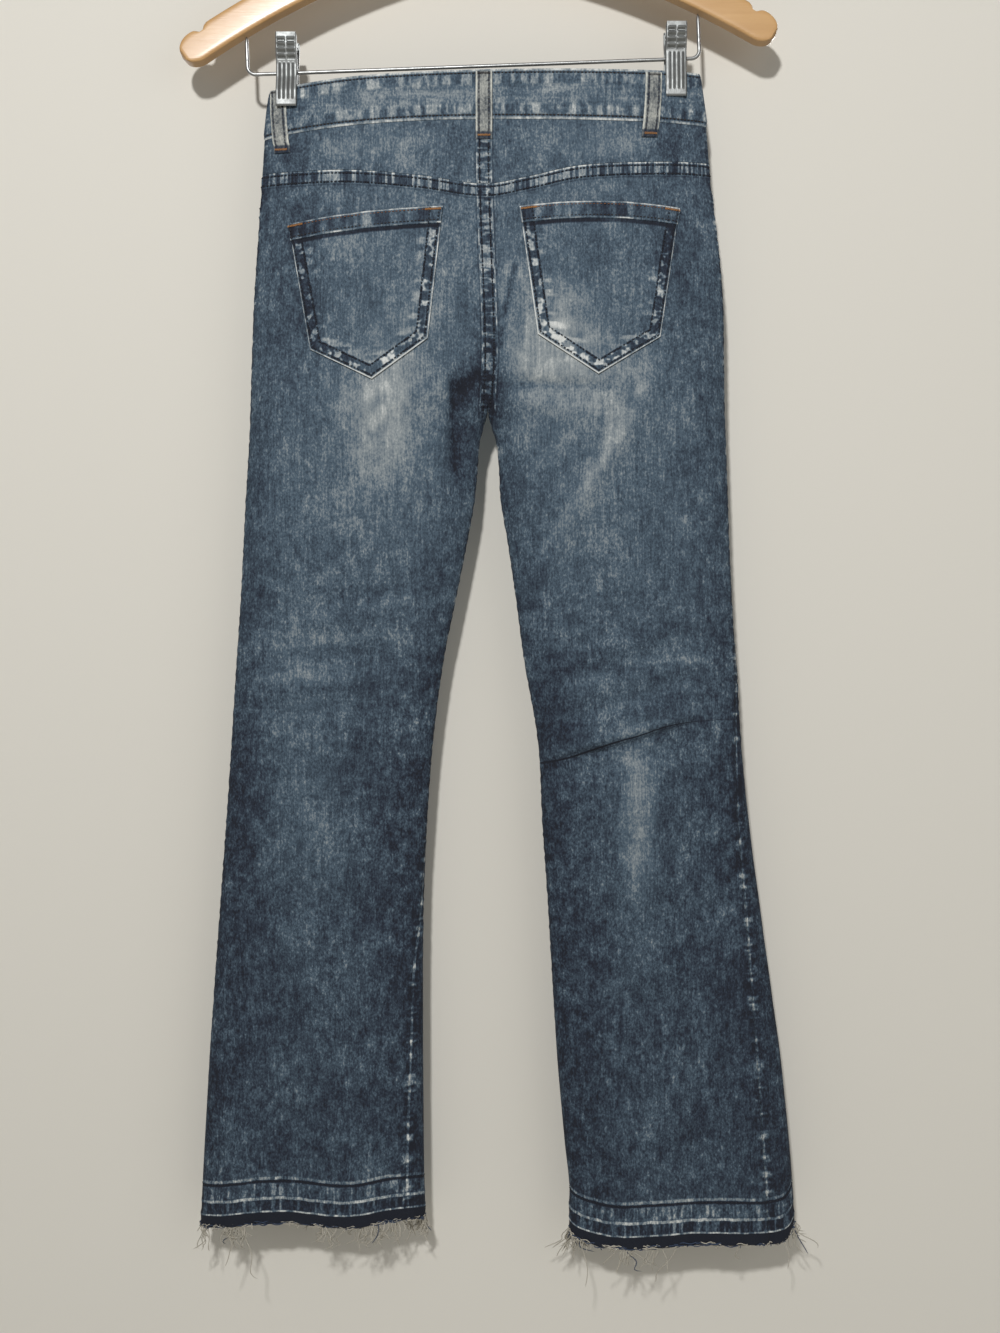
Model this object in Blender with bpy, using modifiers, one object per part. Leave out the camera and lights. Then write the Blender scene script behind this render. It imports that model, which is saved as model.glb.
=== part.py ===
"""Flare jeans, back towards -Y, hung by two clips from the bar of a wooden hanger.

The origin is the inside top of the hanger's hook. Sizes are in millimetres and are turned into metres in `at`.
The cloth is worked out as two half garments. At each drop below the waist, a half is a flattened oval whose
inner part is cut off at the centre seam. The cut closes at the crotch, and below it each half is a leg.
A place on the cloth is a side, a turn round the oval (0 at the inseam, 180 at the outseam, the back between
them, then the front) and a drop. Walls, pockets and loops are the same places moved in or out.
"""

import math
import random
from collections import namedtuple

import bmesh
import bpy
from mathutils import Vector

MM = 0.001
LEFT, RIGHT = -1, 1

# Places of the garment on the hanger
CENTRE_X = 13.0
WAIST_Z = -200.0

# Cloth
DENIM = 1.4
SEAM_GAP = 0.3
BAND_OUT, BAND_WALL, BAND_TALL = 0.8, 2.6, 38.0
ROUNDNESS = 2.2
COLUMNS = 12

# The crotch, where the centre seam turns under
CLOSING_START, CLOSING_END = 196.0, 270.0

# Hems
STRIP_TALL, STRIP_WALL = 3.0, 1.0
STRAND_APART = 14.0
STRAND_WIDE = 0.9
THREAD_LONG = (5.0, 17.0)
LONG_THREADS = {(LEFT, 12): 36.0, (LEFT, 3): 24.0, (RIGHT, 4): 25.0, (RIGHT, 13): 34.0}
EDGE_SEED = 4

# Pockets, loops and fly
PATCH_OFF = 0.5
PATCH_WALL = 1.5
HEM_WALL = 2.3
POCKET_ROWS = [0.0, 0.04, 0.1, 0.28, 0.46, 0.64, 0.82, 1.0]
POCKET_HEM = 0.1
POCKET_GAPE, GAPE_ENDS = 2.2, 0.5
LOOP_WIDE, LOOP_WALL, LOOP_LIFT, LOOP_OFF = 12.0, 1.6, 0.6, 0.4
LOOP_ON_BAND = 0.8
FACING_BACK, FACING_LEAST = 0.3, 3.0
FLY_WIDE, FLY_TALL, FLY_X = 36.0, 118.0, 1.6
FLY_ROUNDS, FLY_LOW_SHARE = 0.55, 0.08
BUTTON_WIDE, BUTTON_TALL, BUTTON_X = 17.0, 3.2, 10.5

# Hanger
HANGER_TILT = math.radians(-2.1)
HANGER_HALF = 222.5
WOOD_THICK, WOOD_TALL, WOOD_BEVEL = 12.0, 23.0, 1.5
WOOD_TOP_Z = -84.0
ARM_SLOPE, ARM_BEND, ARM_EASE = 0.18, 0.00105, 20.0
HOOK_INSIDE, HOOK_WIRE, HOOK_NECK = 17.0, 1.8, 25.0
HOOK_STARTS, HOOK_SWEEP = -50.0, 245.0
BAR_WIRE = 1.35
BAR_LEFT_X, BAR_RIGHT_X, BAR_Z, BAR_BEND = -174.0, 165.0, -197.5, 6.0
CLIP_WIDE, CLIP_TALL, CLIP_WALL, CLIP_FLARE = 17.0, 54.0, 1.1, 9.4
SPRING_OUTER, SPRING_INNER, SPRING_LONG = 4.5, 1.65, 14.0

# Colour, roughness and metallic value of each finish
DENIM_FINISH = ((0.10, 0.16, 0.22), 0.9)
LOOP_FINISH = ((0.16, 0.17, 0.18), 0.9)
THREAD_FINISH = ((0.50, 0.47, 0.38), 0.9)
WOOD_FINISH = ((0.50, 0.30, 0.13), 0.4)
STEEL_FINISH = ((0.45, 0.45, 0.45), 0.35, 1.0)
ZINC_FINISH = ((0.35, 0.35, 0.34), 0.45, 1.0)
BRASS_FINISH = ((0.45, 0.32, 0.18), 0.4, 1.0)

Outline = namedtuple("Outline", "drop left_out left_in right_in right_out back front")
OUTLINE = [
    Outline(-10, -160.0, -0.4, -0.2, 158.0, 8.0, 8.0),
    Outline(0, -161.0, -0.4, -0.2, 158.8, 8.0, 8.0),
    Outline(40, -166.0, -2.0, -2.0, 164.0, 9.5, 9.0),
    Outline(80, -168.8, -2.3, -2.3, 167.0, 13.0, 11.5),
    Outline(130, -172.2, -0.8, -0.8, 173.2, 17.5, 14.0),
    Outline(175, -175.0, 1.0, 1.0, 176.8, 20.0, 15.5),
    Outline(218, -176.5, 1.9, 2.1, 177.5, 20.0, 16.5),
    Outline(250, -177.3, 0.0, 1.0, 177.8, 19.5, 17.0),
    Outline(266, -177.8, -1.8, 2.2, 178.2, 19.0, 17.0),
    Outline(280, -178.4, -5.4, 6.6, 178.8, 18.5, 17.0),
    Outline(300, -179.6, -7.0, 8.6, 179.5, 18.0, 17.0),
    Outline(323, -181.0, -9.2, 9.8, 180.3, 18.0, 16.5),
    Outline(353, -182.5, -14.5, 14.8, 181.2, 17.5, 16.5),
    Outline(398, -184.8, -23.5, 21.4, 183.5, 17.0, 16.0),
    Outline(443, -187.8, -32.5, 27.5, 186.5, 16.5, 15.5),
    Outline(503, -191.5, -40.4, 38.0, 190.0, 16.0, 15.0),
    Outline(563, -195.4, -44.9, 41.4, 196.0, 15.5, 15.0),
    Outline(623, -199.8, -47.9, 45.5, 203.8, 15.0, 15.0),
    Outline(683, -204.2, -48.2, 48.9, 212.0, 15.0, 15.5),
    Outline(743, -208.4, -48.0, 52.6, 220.2, 15.5, 16.0),
    Outline(803, -211.8, -47.5, 57.9, 226.2, 16.5, 16.5),
    Outline(840, -213.8, -46.8, 61.6, 229.0, 17.0, 17.0),
    Outline(900, -217.0, -44.0, 60.0, 233.0, 17.5, 17.5),
]

# How far the leg seams have turned on to the back, in degrees. The legs hang twisted.
Twist = namedtuple("Twist", "drop left_out left_in right_in right_out")
TWIST = [
    Twist(-10, 0, 0, 0, 0),
    Twist(300, 0, 0, 0, 0),
    Twist(400, 0, 0, 0, 1),
    Twist(450, -1, 0, -1, 8),
    Twist(495, -3, 0, -4, 18),
    Twist(551, -6, 0, -8, 26),
    Twist(600, -9, 4, -12, 30),
    Twist(634, -12, 12, -15, 32),
    Twist(672, -14, 23, -18, 35),
    Twist(737, -18, 27, -22, 39),
    Twist(786, -20, 30, -24, 41),
    Twist(853, -22, 32, -25, 42),
    Twist(900, -22, 32, -25, 42),
]

# Drops of the waistband and the yoke seam. Across is -1 at the left edge, 0 at the middle and 1 at the right edge.
Levels = namedtuple("Levels", "across band_top band_bottom yoke front_dip")
LEVELS = [
    Levels(-1.0, 17.0, 53.5, 79.5, 0.0),
    Levels(-0.85, 12.5, 49.5, 79.0, 0.8),
    Levels(-0.6, 7.4, 44.6, 78.6, 5.0),
    Levels(-0.28, 4.4, 41.4, 83.5, 11.0),
    Levels(0.0, 2.9, 40.5, 90.0, 13.0),
    Levels(0.2, 2.4, 40.4, 84.0, 12.0),
    Levels(0.42, 2.1, 40.6, 75.6, 8.5),
    Levels(0.8, 2.6, 41.8, 71.6, 1.0),
    Levels(1.0, 3.6, 43.5, 71.3, 0.0),
]

# Drop of the raw edge round each leg.
Hem = namedtuple("Hem", "turn left right")
HEM = [
    Hem(0, 860.8, 869.6),
    Hem(40, 858.8, 877.6),
    Hem(75, 862.5, 877.4),
    Hem(110, 859.6, 875.0),
    Hem(150, 865.0, 875.6),
    Hem(180, 866.2, 864.6),
    Hem(225, 859.0, 867.0),
    Hem(270, 862.6, 873.5),
    Hem(315, 859.8, 870.0),
    Hem(360, 860.8, 869.6),
]

# Ridges and troughs, from one place on a face to another, with how wide they are and how far they stand out.
Fold = namedtuple("Fold", "face x0 drop0 x1 drop1 width out")
FOLDS = [
    Fold("back", -23, 232, -22, 306, 7, -3.2),
    Fold("back", -40, 240, -52, 320, 13, 1.6),
    Fold("back", 22, 238, 80, 246, 8, -1.6),
    Fold("back", 40, 511, 152, 478, 13, 3.2),
    Fold("back", 38, 531, 150, 500, 11, -2.8),
    Fold("back", 30, 330, 100, 420, 16, -1.4),
    Fold("back", -160, 420, -70, 450, 16, -1.2),
    Fold("back", -150, 610, -60, 640, 14, -1.4),
    Fold("back", 70, 640, 180, 625, 14, -1.3),
    Fold("back", -139, 770, -140, 866, 15, -2.6),
    Fold("back", -100, 740, -98, 866, 14, 2.2),
    Fold("back", -186, 780, -192, 866, 12, 2.0),
    Fold("back", 78, 800, 72, 876, 9, -2.6),
    Fold("back", 98, 770, 100, 876, 13, 2.4),
    Fold("back", 146, 790, 150, 876, 15, -2.2),
    Fold("back", 185, 760, 190, 876, 14, 2.0),
    Fold("front", -30, 240, -90, 262, 10, -2.0),
    Fold("front", 30, 240, 90, 258, 10, -2.0),
    Fold("front", -150, 505, -60, 522, 12, -2.2),
    Fold("front", 60, 516, 160, 498, 12, -2.2),
    Fold("front", -110, 780, -112, 866, 15, -2.4),
    Fold("front", -165, 770, -168, 866, 14, 2.0),
    Fold("front", 105, 780, 106, 876, 15, -2.2),
    Fold("front", 170, 780, 174, 876, 14, 2.2),
]

# Corners of the back pockets, measured from the centre line.
Pocket = namedtuple("Pocket", "name top_left top_right low_left point low_right")
POCKETS = [
    Pocket("back_pocket_left", (-146.3, 119.3), (-32.4, 107.7), (-129.8, 213.4), (-84.6, 236.0), (-43.2, 206.0)),
    Pocket("back_pocket_right", (23.6, 107.9), (141.4, 107.3), (37.0, 203.0), (81.7, 232.2), (126.9, 204.0)),
]

# Belt loops: top and bottom places of each loop's middle. Front loops sit on the front.
Loop = namedtuple("Loop", "name face x_top drop_top x_low drop_low")
LOOPS = [
    Loop("belt_loop_back", "back", -2.4, 5.0, -2.4, 56.2),
    Loop("belt_loop_side_left", "back", -154.4, 16.8, -151.6, 64.5),
    Loop("belt_loop_side_right", "back", 122.4, 4.6, 119.8, 53.3),
    Loop("belt_loop_front_left", "front", -86.0, 12.6, -88.0, 60.5),
    Loop("belt_loop_front_right", "front", 86.0, 9.4, 88.0, 57.5),
]

# Front pocket mouths: how far the front's top edge is scooped away below the waistband.
Scoop = namedtuple("Scoop", "across depth")
SCOOP = [Scoop(0.50, 0.0), Scoop(0.60, 4.0), Scoop(0.75, 30.0), Scoop(0.9, 44.0), Scoop(1.0, 48.0)]

# Heights of the rows that all panels share, from the seat to just above the hems.
PANEL_TOP_ROWS = 5
ROWS = [
    205, 222, 236, 248, 258, 267, 276, 288, 304, 326, 354, 388, 424, 458, 484, 502, 518, 540,
    575, 612, 650, 690, 730, 768, 800, 828,
]

# Each panel is parted at the crotch, across the thigh and below the knee, so that the leg stays open inside.
Part = namedtuple("Part", "name first_row last_row")
PARTS = [Part("panel", 0, 8), Part("thigh", 8, 15), Part("knee", 15, 24), Part("flare", 24, 31)]

Clip = namedtuple("Clip", "side middle drop_low front_grip rear_grip")
CLIPS = [Clip("left", -149.8, 30.0, 7.6, 6.0), Clip("right", 140.9, 22.0, 6.3, 6.3)]


def value(table, column, key):
    """A smooth reading of one column of a table, whose first column is the key."""
    keys = [row[0] for row in table]
    heights = [getattr(row, column) for row in table]
    if key <= keys[0]:
        return heights[0]
    if key >= keys[-1]:
        return heights[-1]
    i = next(n for n in range(len(keys) - 1) if key <= keys[n + 1])

    def slope(n):
        lower, upper = max(n - 1, 0), min(n + 1, len(keys) - 1)
        return (heights[upper] - heights[lower]) / (keys[upper] - keys[lower])

    wide = keys[i + 1] - keys[i]
    t = (key - keys[i]) / wide
    start, end = heights[i], heights[i + 1]
    return (
        start * (1 + 2 * t) * (1 - t) ** 2
        + end * t * t * (3 - 2 * t)
        + slope(i) * wide * t * (1 - t) ** 2
        - slope(i + 1) * wide * t * t * (1 - t)
    )


def smooth(t):
    t = min(max(t, 0.0), 1.0)
    return t * t * (3 - 2 * t)


def at(x, y, drop):
    """A point in metres, from millimetres across from the centre line, in depth and below the waist."""
    return Vector(((CENTRE_X + x) * MM, y * MM, (WAIST_Z - drop) * MM))


def oval(side, drop):
    """Middle, half width and inner cut of a half garment's oval."""
    name = "left" if side == LEFT else "right"
    outer = value(OUTLINE, f"{name}_out", drop)
    inner = value(OUTLINE, f"{name}_in", drop)
    cut = smooth((drop - CLOSING_START) / (CLOSING_END - CLOSING_START))
    half = abs(outer - inner) / (1 + cut)
    return outer - side * half, half, cut


def rise(cosine):
    return max(1 - abs(cosine) ** ROUNDNESS, 0.0) ** (1 / ROUNDNESS)


def fold_out(face, x, drop):
    """How far the folds move a place on one face outwards."""
    total = 0.0
    for f in FOLDS:
        if f.face != face:
            continue
        dx, dd = f.x1 - f.x0, f.drop1 - f.drop0
        long = math.hypot(dx, dd)
        along = ((x - f.x0) * dx + (drop - f.drop0) * dd) / long
        away = abs((x - f.x0) * dd - (drop - f.drop0) * dx) / long
        if away > 3 * f.width or not -0.3 * long < along < 1.2 * long:
            continue
        ends = smooth((along / long + 0.15) / 0.35)
        if f.drop1 < 850:
            ends *= smooth((1.15 - along / long) / 0.35)
        total += f.out * ends * math.exp(-((away / f.width) ** 2))
    return total


def cloth(side, turn, drop, out=0.0):
    """The point at a turn (radians) and drop on one half, moved out of the cloth's face."""
    middle, half, _ = oval(side, drop)
    cosine, sine = math.cos(turn), math.sin(turn)
    face = "back" if sine >= 0 else "front"
    depth = value(OUTLINE, face, drop)
    x = middle - side * (half + out) * cosine
    base_x = middle - side * half * cosine
    hold = 1 - abs(cosine) ** 4
    folds = fold_out(face, base_x, drop) * hold
    y = (depth + out) * rise(cosine) + folds
    return at(x, -y if face == "back" else y, drop)


def turn_at(side, x, drop):
    """The turn on the back of one half where it stands x from the centre line."""
    middle, half, _ = oval(side, drop)
    return math.acos(min(max(side * (middle - x) / half, -1.0), 1.0))


def on_face(face, x, drop, out):
    """The point on the back or the front at x, moved out."""
    side = LEFT if x < value(OUTLINE, "left_in", drop) else RIGHT
    turn = turn_at(side, x, drop)
    return cloth(side, turn if face == "back" else 2 * math.pi - turn, drop, out)


def across(side, turn):
    return -side * math.cos(turn)


def band_level(side, turn, column):
    """Drop of the waistband's top or bottom edge, or of the yoke seam."""
    place = across(side, turn)
    dip = value(LEVELS, "front_dip", place) if math.sin(turn) < -0.0001 else 0.0
    return value(LEVELS, column, place) + dip


def hem_drop(side, turn):
    degrees = math.degrees(turn) % 360
    return value(HEM, "left" if side == LEFT else "right", degrees)


def seam_turn(side, which, drop):
    """Turn of the inseam (or the centre seam above it) or the outseam, on the back."""
    name = "left" if side == LEFT else "right"
    twist = math.radians(value(TWIST, f"{name}_{which}", drop))
    if which == "out":
        return math.pi - twist
    _, _, cut = oval(side, drop)
    return math.acos(min(cut, 1.0)) + twist


def turns(side, face, drop):
    """First and last turn of a face's panel: inner to outer seam on the back, outer to inner on the front."""
    inner, outer = seam_turn(side, "in", drop), seam_turn(side, "out", drop)
    if face == "back":
        return inner, outer
    name = "left" if side == LEFT else "right"
    twist = math.radians(value(TWIST, f"{name}_in", drop))
    return outer, 2 * math.pi - (inner - twist) + twist


def material(name, colour, roughness, metallic=0.0):
    made = bpy.data.materials.get(name) or bpy.data.materials.new(name)
    made.use_nodes = True
    shader = made.node_tree.nodes["Principled BSDF"]
    shader.inputs["Base Color"].default_value = (*colour, 1.0)
    shader.inputs["Roughness"].default_value = roughness
    shader.inputs["Metallic"].default_value = metallic
    return made


def place(bm, name, finish, collection, smooth_faces=True):
    """An object made of a finished mesh, with its own material."""
    bmesh.ops.recalc_face_normals(bm, faces=bm.faces)
    mesh = bpy.data.meshes.new(name)
    bm.to_mesh(mesh)
    bm.free()
    if smooth_faces:
        mesh.shade_smooth()
        mesh.set_sharp_from_angle(angle=math.radians(40))
    made = bpy.data.objects.new(name, mesh)
    mesh.materials.append(material(name, *finish))
    collection.objects.link(made)
    return made


def wall(columns, rows, outer, inner, ring=False):
    """A closed wall and the column and row of each of its vertices.

    A grid, rolled up first where it is a ring, is extruded, and its two skins are laid on the outer and inner
    face. outer and inner give the point at a column and a row.
    """
    bm = bmesh.new()
    bmesh.ops.create_grid(bm, x_segments=columns, y_segments=rows, size=1.0)
    for v in bm.verts:
        column = round((v.co.x + 1) / 2 * columns)
        row = round((1 - v.co.y) / 2 * rows)
        angle = 2 * math.pi * column / columns
        v.co = (math.cos(angle), math.sin(angle), row) if ring else (column, 0, row)
    if ring:
        bmesh.ops.remove_doubles(bm, verts=bm.verts, dist=0.0001)
    skin = list(bm.verts)
    made = bmesh.ops.extrude_face_region(bm, geom=bm.faces[:] + bm.edges[:] + skin, use_keep_orig=True)
    moved = [v for v in made["geom"] if isinstance(v, bmesh.types.BMVert)]
    spots = {}
    for v in skin + moved:
        if ring:
            column = round(math.atan2(v.co.y, v.co.x) / (2 * math.pi) * columns) % columns
        else:
            column = round(v.co.x)
        spots[v] = (column, round(v.co.z))
    for v in skin:
        v.co = outer(*spots[v])
    for v in moved:
        v.co = inner(*spots[v])
    return bm, spots


def seamed(points):
    """Points of one row, its two ends drawn back by half the seam gap from the seams there."""
    half_gap = SEAM_GAP / 2 * MM
    first = points[0] + (points[1] - points[0]).normalized() * half_gap
    last = points[-1] + (points[-2] - points[-1]).normalized() * half_gap
    return [first, *points[1:-1], last]


def cloth_wall(side, columns, row_count, spot, out, thick):
    """A wall of cloth whose ends are seams. spot gives the turn and drop of a column and row."""
    faces = []
    for offset in (out, out - thick):
        rows = []
        for row in range(row_count + 1):
            rows.append(seamed([cloth(side, *spot(c, row), offset) for c in range(columns + 1)]))
        faces.append(rows)
    bm, _ = wall(columns, row_count, lambda c, r: faces[0][r][c], lambda c, r: faces[1][r][c])
    return bm


def panel_top(side, face, turn):
    """Drop of a panel's top edge."""
    if face == "back":
        return band_level(side, turn, "yoke") + SEAM_GAP
    scoop = value(SCOOP, "depth", abs(across(side, turn)))
    return band_level(side, turn, "band_bottom") + SEAM_GAP + scoop


def column_turn(side, face, column, drop):
    first, last = turns(side, face, drop)
    return first + (last - first) * column / COLUMNS


def panel(side, face, part, name, collection):
    """One part of a back or front panel, which reaches from its top edge to the strip of raw edge."""
    bottom = PANEL_TOP_ROWS + len(ROWS)

    def spot(column, step):
        row = part.first_row + step
        if row < PANEL_TOP_ROWS:
            top = panel_top(side, face, top_turn(side, face, column))
            drop = top + (ROWS[0] - top) * row / PANEL_TOP_ROWS
            return column_turn(side, face, column, drop), drop
        if row < bottom:
            drop = ROWS[row - PANEL_TOP_ROWS]
            if row == part.first_row:
                drop += SEAM_GAP / 2
            elif row == part.last_row:
                drop -= SEAM_GAP / 2
            return column_turn(side, face, column, drop), drop
        turn = column_turn(side, face, column, ROWS[-1])
        return turn, hem_drop(side, turn) - STRIP_TALL - SEAM_GAP

    bm = cloth_wall(side, COLUMNS, part.last_row - part.first_row, spot, 0.0, DENIM)
    return place(bm, name, DENIM_FINISH, collection)


def top_turn(side, face, column):
    """Turn of a column at the waist."""
    first, last = turns(side, face, 0)
    return first + (last - first) * column / COLUMNS


def yoke(side, name, collection):
    rows = 2

    def spot(column, row):
        turn = top_turn(side, "back", column)
        top = band_level(side, turn, "band_bottom") + SEAM_GAP
        return turn, top + (band_level(side, turn, "yoke") - top) * row / rows

    return place(cloth_wall(side, COLUMNS, rows, spot, 0.0, DENIM), name, DENIM_FINISH, collection)


def pocket_facing(side, name, collection):
    """The cloth in a front pocket's mouth, between the waistband and the scooped front."""
    last = max(
        c for c in range(COLUMNS + 1)
        if value(SCOOP, "depth", abs(across(side, top_turn(side, "front", c)))) > FACING_LEAST
    )

    def spot(column, row):
        turn = top_turn(side, "front", column)
        top = band_level(side, turn, "band_bottom") + SEAM_GAP
        low = panel_top(side, "front", turn) - SEAM_GAP
        return turn, top + (low - top) * row

    bm = cloth_wall(side, last, 1, spot, -FACING_BACK, DENIM - FACING_BACK)
    return place(bm, name, DENIM_FINISH, collection)


def waistband(spots, name, collection):
    """A stretch of waistband along a list of sides and turns."""
    rows = 2
    faces = []
    for offset in (BAND_OUT, BAND_OUT - BAND_WALL):
        grid = []
        for row in range(rows + 1):
            points = []
            for side, turn in spots:
                top = band_level(side, turn, "band_top")
                low = band_level(side, turn, "band_bottom")
                points.append(cloth(side, turn, top + (low - top) * row / rows, offset))
            grid.append(seamed(points))
        faces.append(grid)
    bm, _ = wall(len(spots) - 1, rows, lambda c, r: faces[0][r][c], lambda c, r: faces[1][r][c])
    return place(bm, name, DENIM_FINISH, collection)


def back_pocket(pocket, collection):
    """A five-sided patch with a folded top hem, gaping a little at its mouth."""
    columns, rows = 8, len(POCKET_ROWS) - 1

    def place_on(column, row):
        u, v = column / columns, POCKET_ROWS[row]
        top = [a + (b - a) * u for a, b in zip(pocket.top_left, pocket.top_right)]
        if u <= 0.5:
            low = [a + (b - a) * u * 2 for a, b in zip(pocket.low_left, pocket.point)]
        else:
            low = [a + (b - a) * (u * 2 - 1) for a, b in zip(pocket.point, pocket.low_right)]
        return [a + (b - a) * v for a, b in zip(top, low)]

    def off(column, row):
        gape = POCKET_GAPE * (1 - smooth(POCKET_ROWS[row] / GAPE_ENDS)) * math.sin(math.pi * column / columns)
        return PATCH_OFF + gape

    def outer(column, row):
        thick = HEM_WALL if POCKET_ROWS[row] <= POCKET_HEM else PATCH_WALL
        return on_face("back", *place_on(column, row), off(column, row) + thick)

    def inner(column, row):
        return on_face("back", *place_on(column, row), off(column, row))

    bm, _ = wall(columns, rows, outer, inner)
    return place(bm, pocket.name, DENIM_FINISH, collection)


def fly(collection):
    """The fly's front, a strip with a round lower corner, laid on the left front."""
    columns, rows = 3, 8
    top = value(LEVELS, "band_bottom", 0) + value(LEVELS, "front_dip", 0) + 3 * SEAM_GAP

    def spot(column, row):
        share = row / rows
        rounding = smooth((share - FLY_ROUNDS) / (1 - FLY_ROUNDS))
        wide = FLY_WIDE * math.sqrt(1 - rounding * (1 - FLY_LOW_SHARE))
        return FLY_X + wide * column / columns, top + FLY_TALL * share

    def outer(column, row):
        return on_face("front", *spot(column, row), PATCH_OFF + DENIM)

    def inner(column, row):
        return on_face("front", *spot(column, row), PATCH_OFF)

    bm, _ = wall(columns, rows, outer, inner)
    return place(bm, "fly", DENIM_FINISH, collection)


def belt_loop(loop, collection):
    """A strap from the waistband's top to below it, standing off the band between its two tacks."""
    columns, rows = 2, 8

    def spot(column, row):
        share = row / rows
        x = loop.x_top + (loop.x_low - loop.x_top) * share + LOOP_WIDE * (column / columns - 0.5)
        return x, loop.drop_top + (loop.drop_low - loop.drop_top) * share

    def lift(row):
        share = row / rows
        on_band = BAND_OUT + LOOP_OFF
        standing = LOOP_LIFT * math.sin(math.pi * min(share / LOOP_ON_BAND, 1.0))
        return on_band + standing - (on_band - PATCH_OFF) * smooth((share - LOOP_ON_BAND) / (1 - LOOP_ON_BAND))

    def outer(column, row):
        return on_face(loop.face, *spot(column, row), lift(row) + LOOP_WALL)

    def inner(column, row):
        return on_face(loop.face, *spot(column, row), lift(row))

    bm, _ = wall(columns, rows, outer, inner)
    return place(bm, loop.name, LOOP_FINISH, collection)


def raw_edge(side, name, collection):
    """The frayed edge of a leg: a narrow ring of cloth with threads hanging from its lower side.

    The ring runs straight between the corners of the panels above it.
    """
    shape = random.Random(EDGE_SEED + side)
    corners = [column_turn(side, "back", c, ROWS[-1]) for c in range(COLUMNS)]
    corners += [column_turn(side, "front", c, ROWS[-1]) for c in range(COLUMNS + 1)]

    def corner(n, row, out):
        return cloth(side, corners[n], hem_drop(side, corners[n]) - STRIP_TALL * (1 - row), out)

    places, strand_columns = [], []
    for n in range(len(corners) - 1):
        places.append((n, 0.0))
        long = (corner(n + 1, 1, 0.0) - corner(n, 1, 0.0)).length / MM
        count = 2 if long > STRAND_APART else 1
        for k in range(count):
            start = (k + shape.uniform(0.2, 0.7)) / count
            strand_columns.append(len(places))
            places += [(n, start), (n, start + STRAND_WIDE / long)]

    def edge(out):
        def point(column, row):
            n, share = places[column]
            return corner(n, row, out).lerp(corner(n + 1, row, out), share)
        return point

    out = -(DENIM - STRIP_WALL) / 2
    bm, spots = wall(len(places), 1, edge(out), edge(out - STRIP_WALL), ring=True)
    roots = [
        f for f in bm.faces
        if all(spots[v][1] == 1 for v in f.verts) and min(spots[v][0] for v in f.verts) in strand_columns
        and max(spots[v][0] for v in f.verts) - min(spots[v][0] for v in f.verts) == 1
    ]
    roots.sort(key=lambda f: min(spots[v][0] for v in f.verts))
    for n, root in enumerate(roots):
        long = LONG_THREADS.get((side, n), shape.uniform(*THREAD_LONG))
        lean = Vector((shape.uniform(-0.12, 0.12), shape.uniform(-0.08, 0.08), -1.0))
        face = root
        for share, narrow in ((0.45, 0.75), (0.55, 0.6)):
            face = bmesh.ops.extrude_discrete_faces(bm, faces=[face])["faces"][0]
            middle = face.calc_center_median()
            for v in face.verts:
                v.co = middle + (v.co - middle) * narrow + lean * long * share * MM
            lean.x *= -0.6
    return place(bm, name, THREAD_FINISH, collection, smooth_faces=False)


def arm_height(x):
    """Height of the middle of the hanger's wood at x, in the hanger's own frame."""
    away = math.hypot(x, ARM_EASE) - ARM_EASE
    return WOOD_TOP_Z - WOOD_TALL / 2 - ARM_SLOPE * away - ARM_BEND * x * x


def arm_slope(x):
    return -ARM_SLOPE * x / math.hypot(x, ARM_EASE) - 2 * ARM_BEND * x


def arm_edge(x, offset):
    """A point of the wood's outline, offset square to its middle line."""
    run = math.hypot(1.0, arm_slope(x))
    return x - offset * arm_slope(x) / run, arm_height(x) + offset / run


def arm_under(x):
    """Height of the wood's underside at x."""
    return arm_height(x) - WOOD_TALL / 2 * math.hypot(1.0, arm_slope(x))


def hanger_frame(collection):
    """The empty that carries the hanger, tilted about the hook's inside top."""
    frame = bpy.data.objects.new("hanger_frame", None)
    frame.rotation_euler = (0.0, HANGER_TILT, 0.0)
    collection.objects.link(frame)
    return frame


def curve_object(name, points, finish, collection, frame, **settings):
    """A curve of straight stretches through points given as x, y and z in millimetres."""
    curve = bpy.data.curves.new(name, "CURVE")
    for key, setting in settings.items():
        setattr(curve, key, setting)
    spline = curve.splines.new("POLY")
    spline.points.add(len(points) - 1)
    for spot, point in zip(spline.points, points):
        spot.co = (*(c * MM for c in point), 1.0)
    spline.use_cyclic_u = curve.dimensions == "2D"
    spline.use_smooth = True
    curve.materials.append(material(name, *finish))
    made = bpy.data.objects.new(name, curve)
    made.parent = frame
    collection.objects.link(made)
    return made


def hanger_wood(collection, frame):
    """The wooden arms: a flat outline with round tips, given its thickness."""
    half, end = WOOD_TALL / 2 - WOOD_BEVEL, HANGER_HALF - WOOD_TALL / 2
    steps, tip_steps = 24, 5
    spread = [end * (2 * n / steps - 1) for n in range(steps + 1)]
    outline = []
    for sign in (1, -1):
        outline += [arm_edge(sign * x, sign * half) for x in spread]
        tip_x, tip_z = sign * end, arm_height(end)
        first = math.atan2(outline[-1][1] - tip_z, outline[-1][0] - tip_x)
        for n in range(1, tip_steps):
            angle = first - math.pi * n / tip_steps
            outline.append((tip_x + half * math.cos(angle), tip_z + half * math.sin(angle)))
    made = curve_object(
        "hanger_wood", [(x, z, 0.0) for x, z in outline], WOOD_FINISH, collection, frame,
        dimensions="2D", fill_mode="BOTH", extrude=(WOOD_THICK / 2 - WOOD_BEVEL) * MM,
        bevel_depth=WOOD_BEVEL * MM, bevel_resolution=1,
    )
    made.rotation_euler = (math.pi / 2, 0.0, 0.0)
    return made


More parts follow.
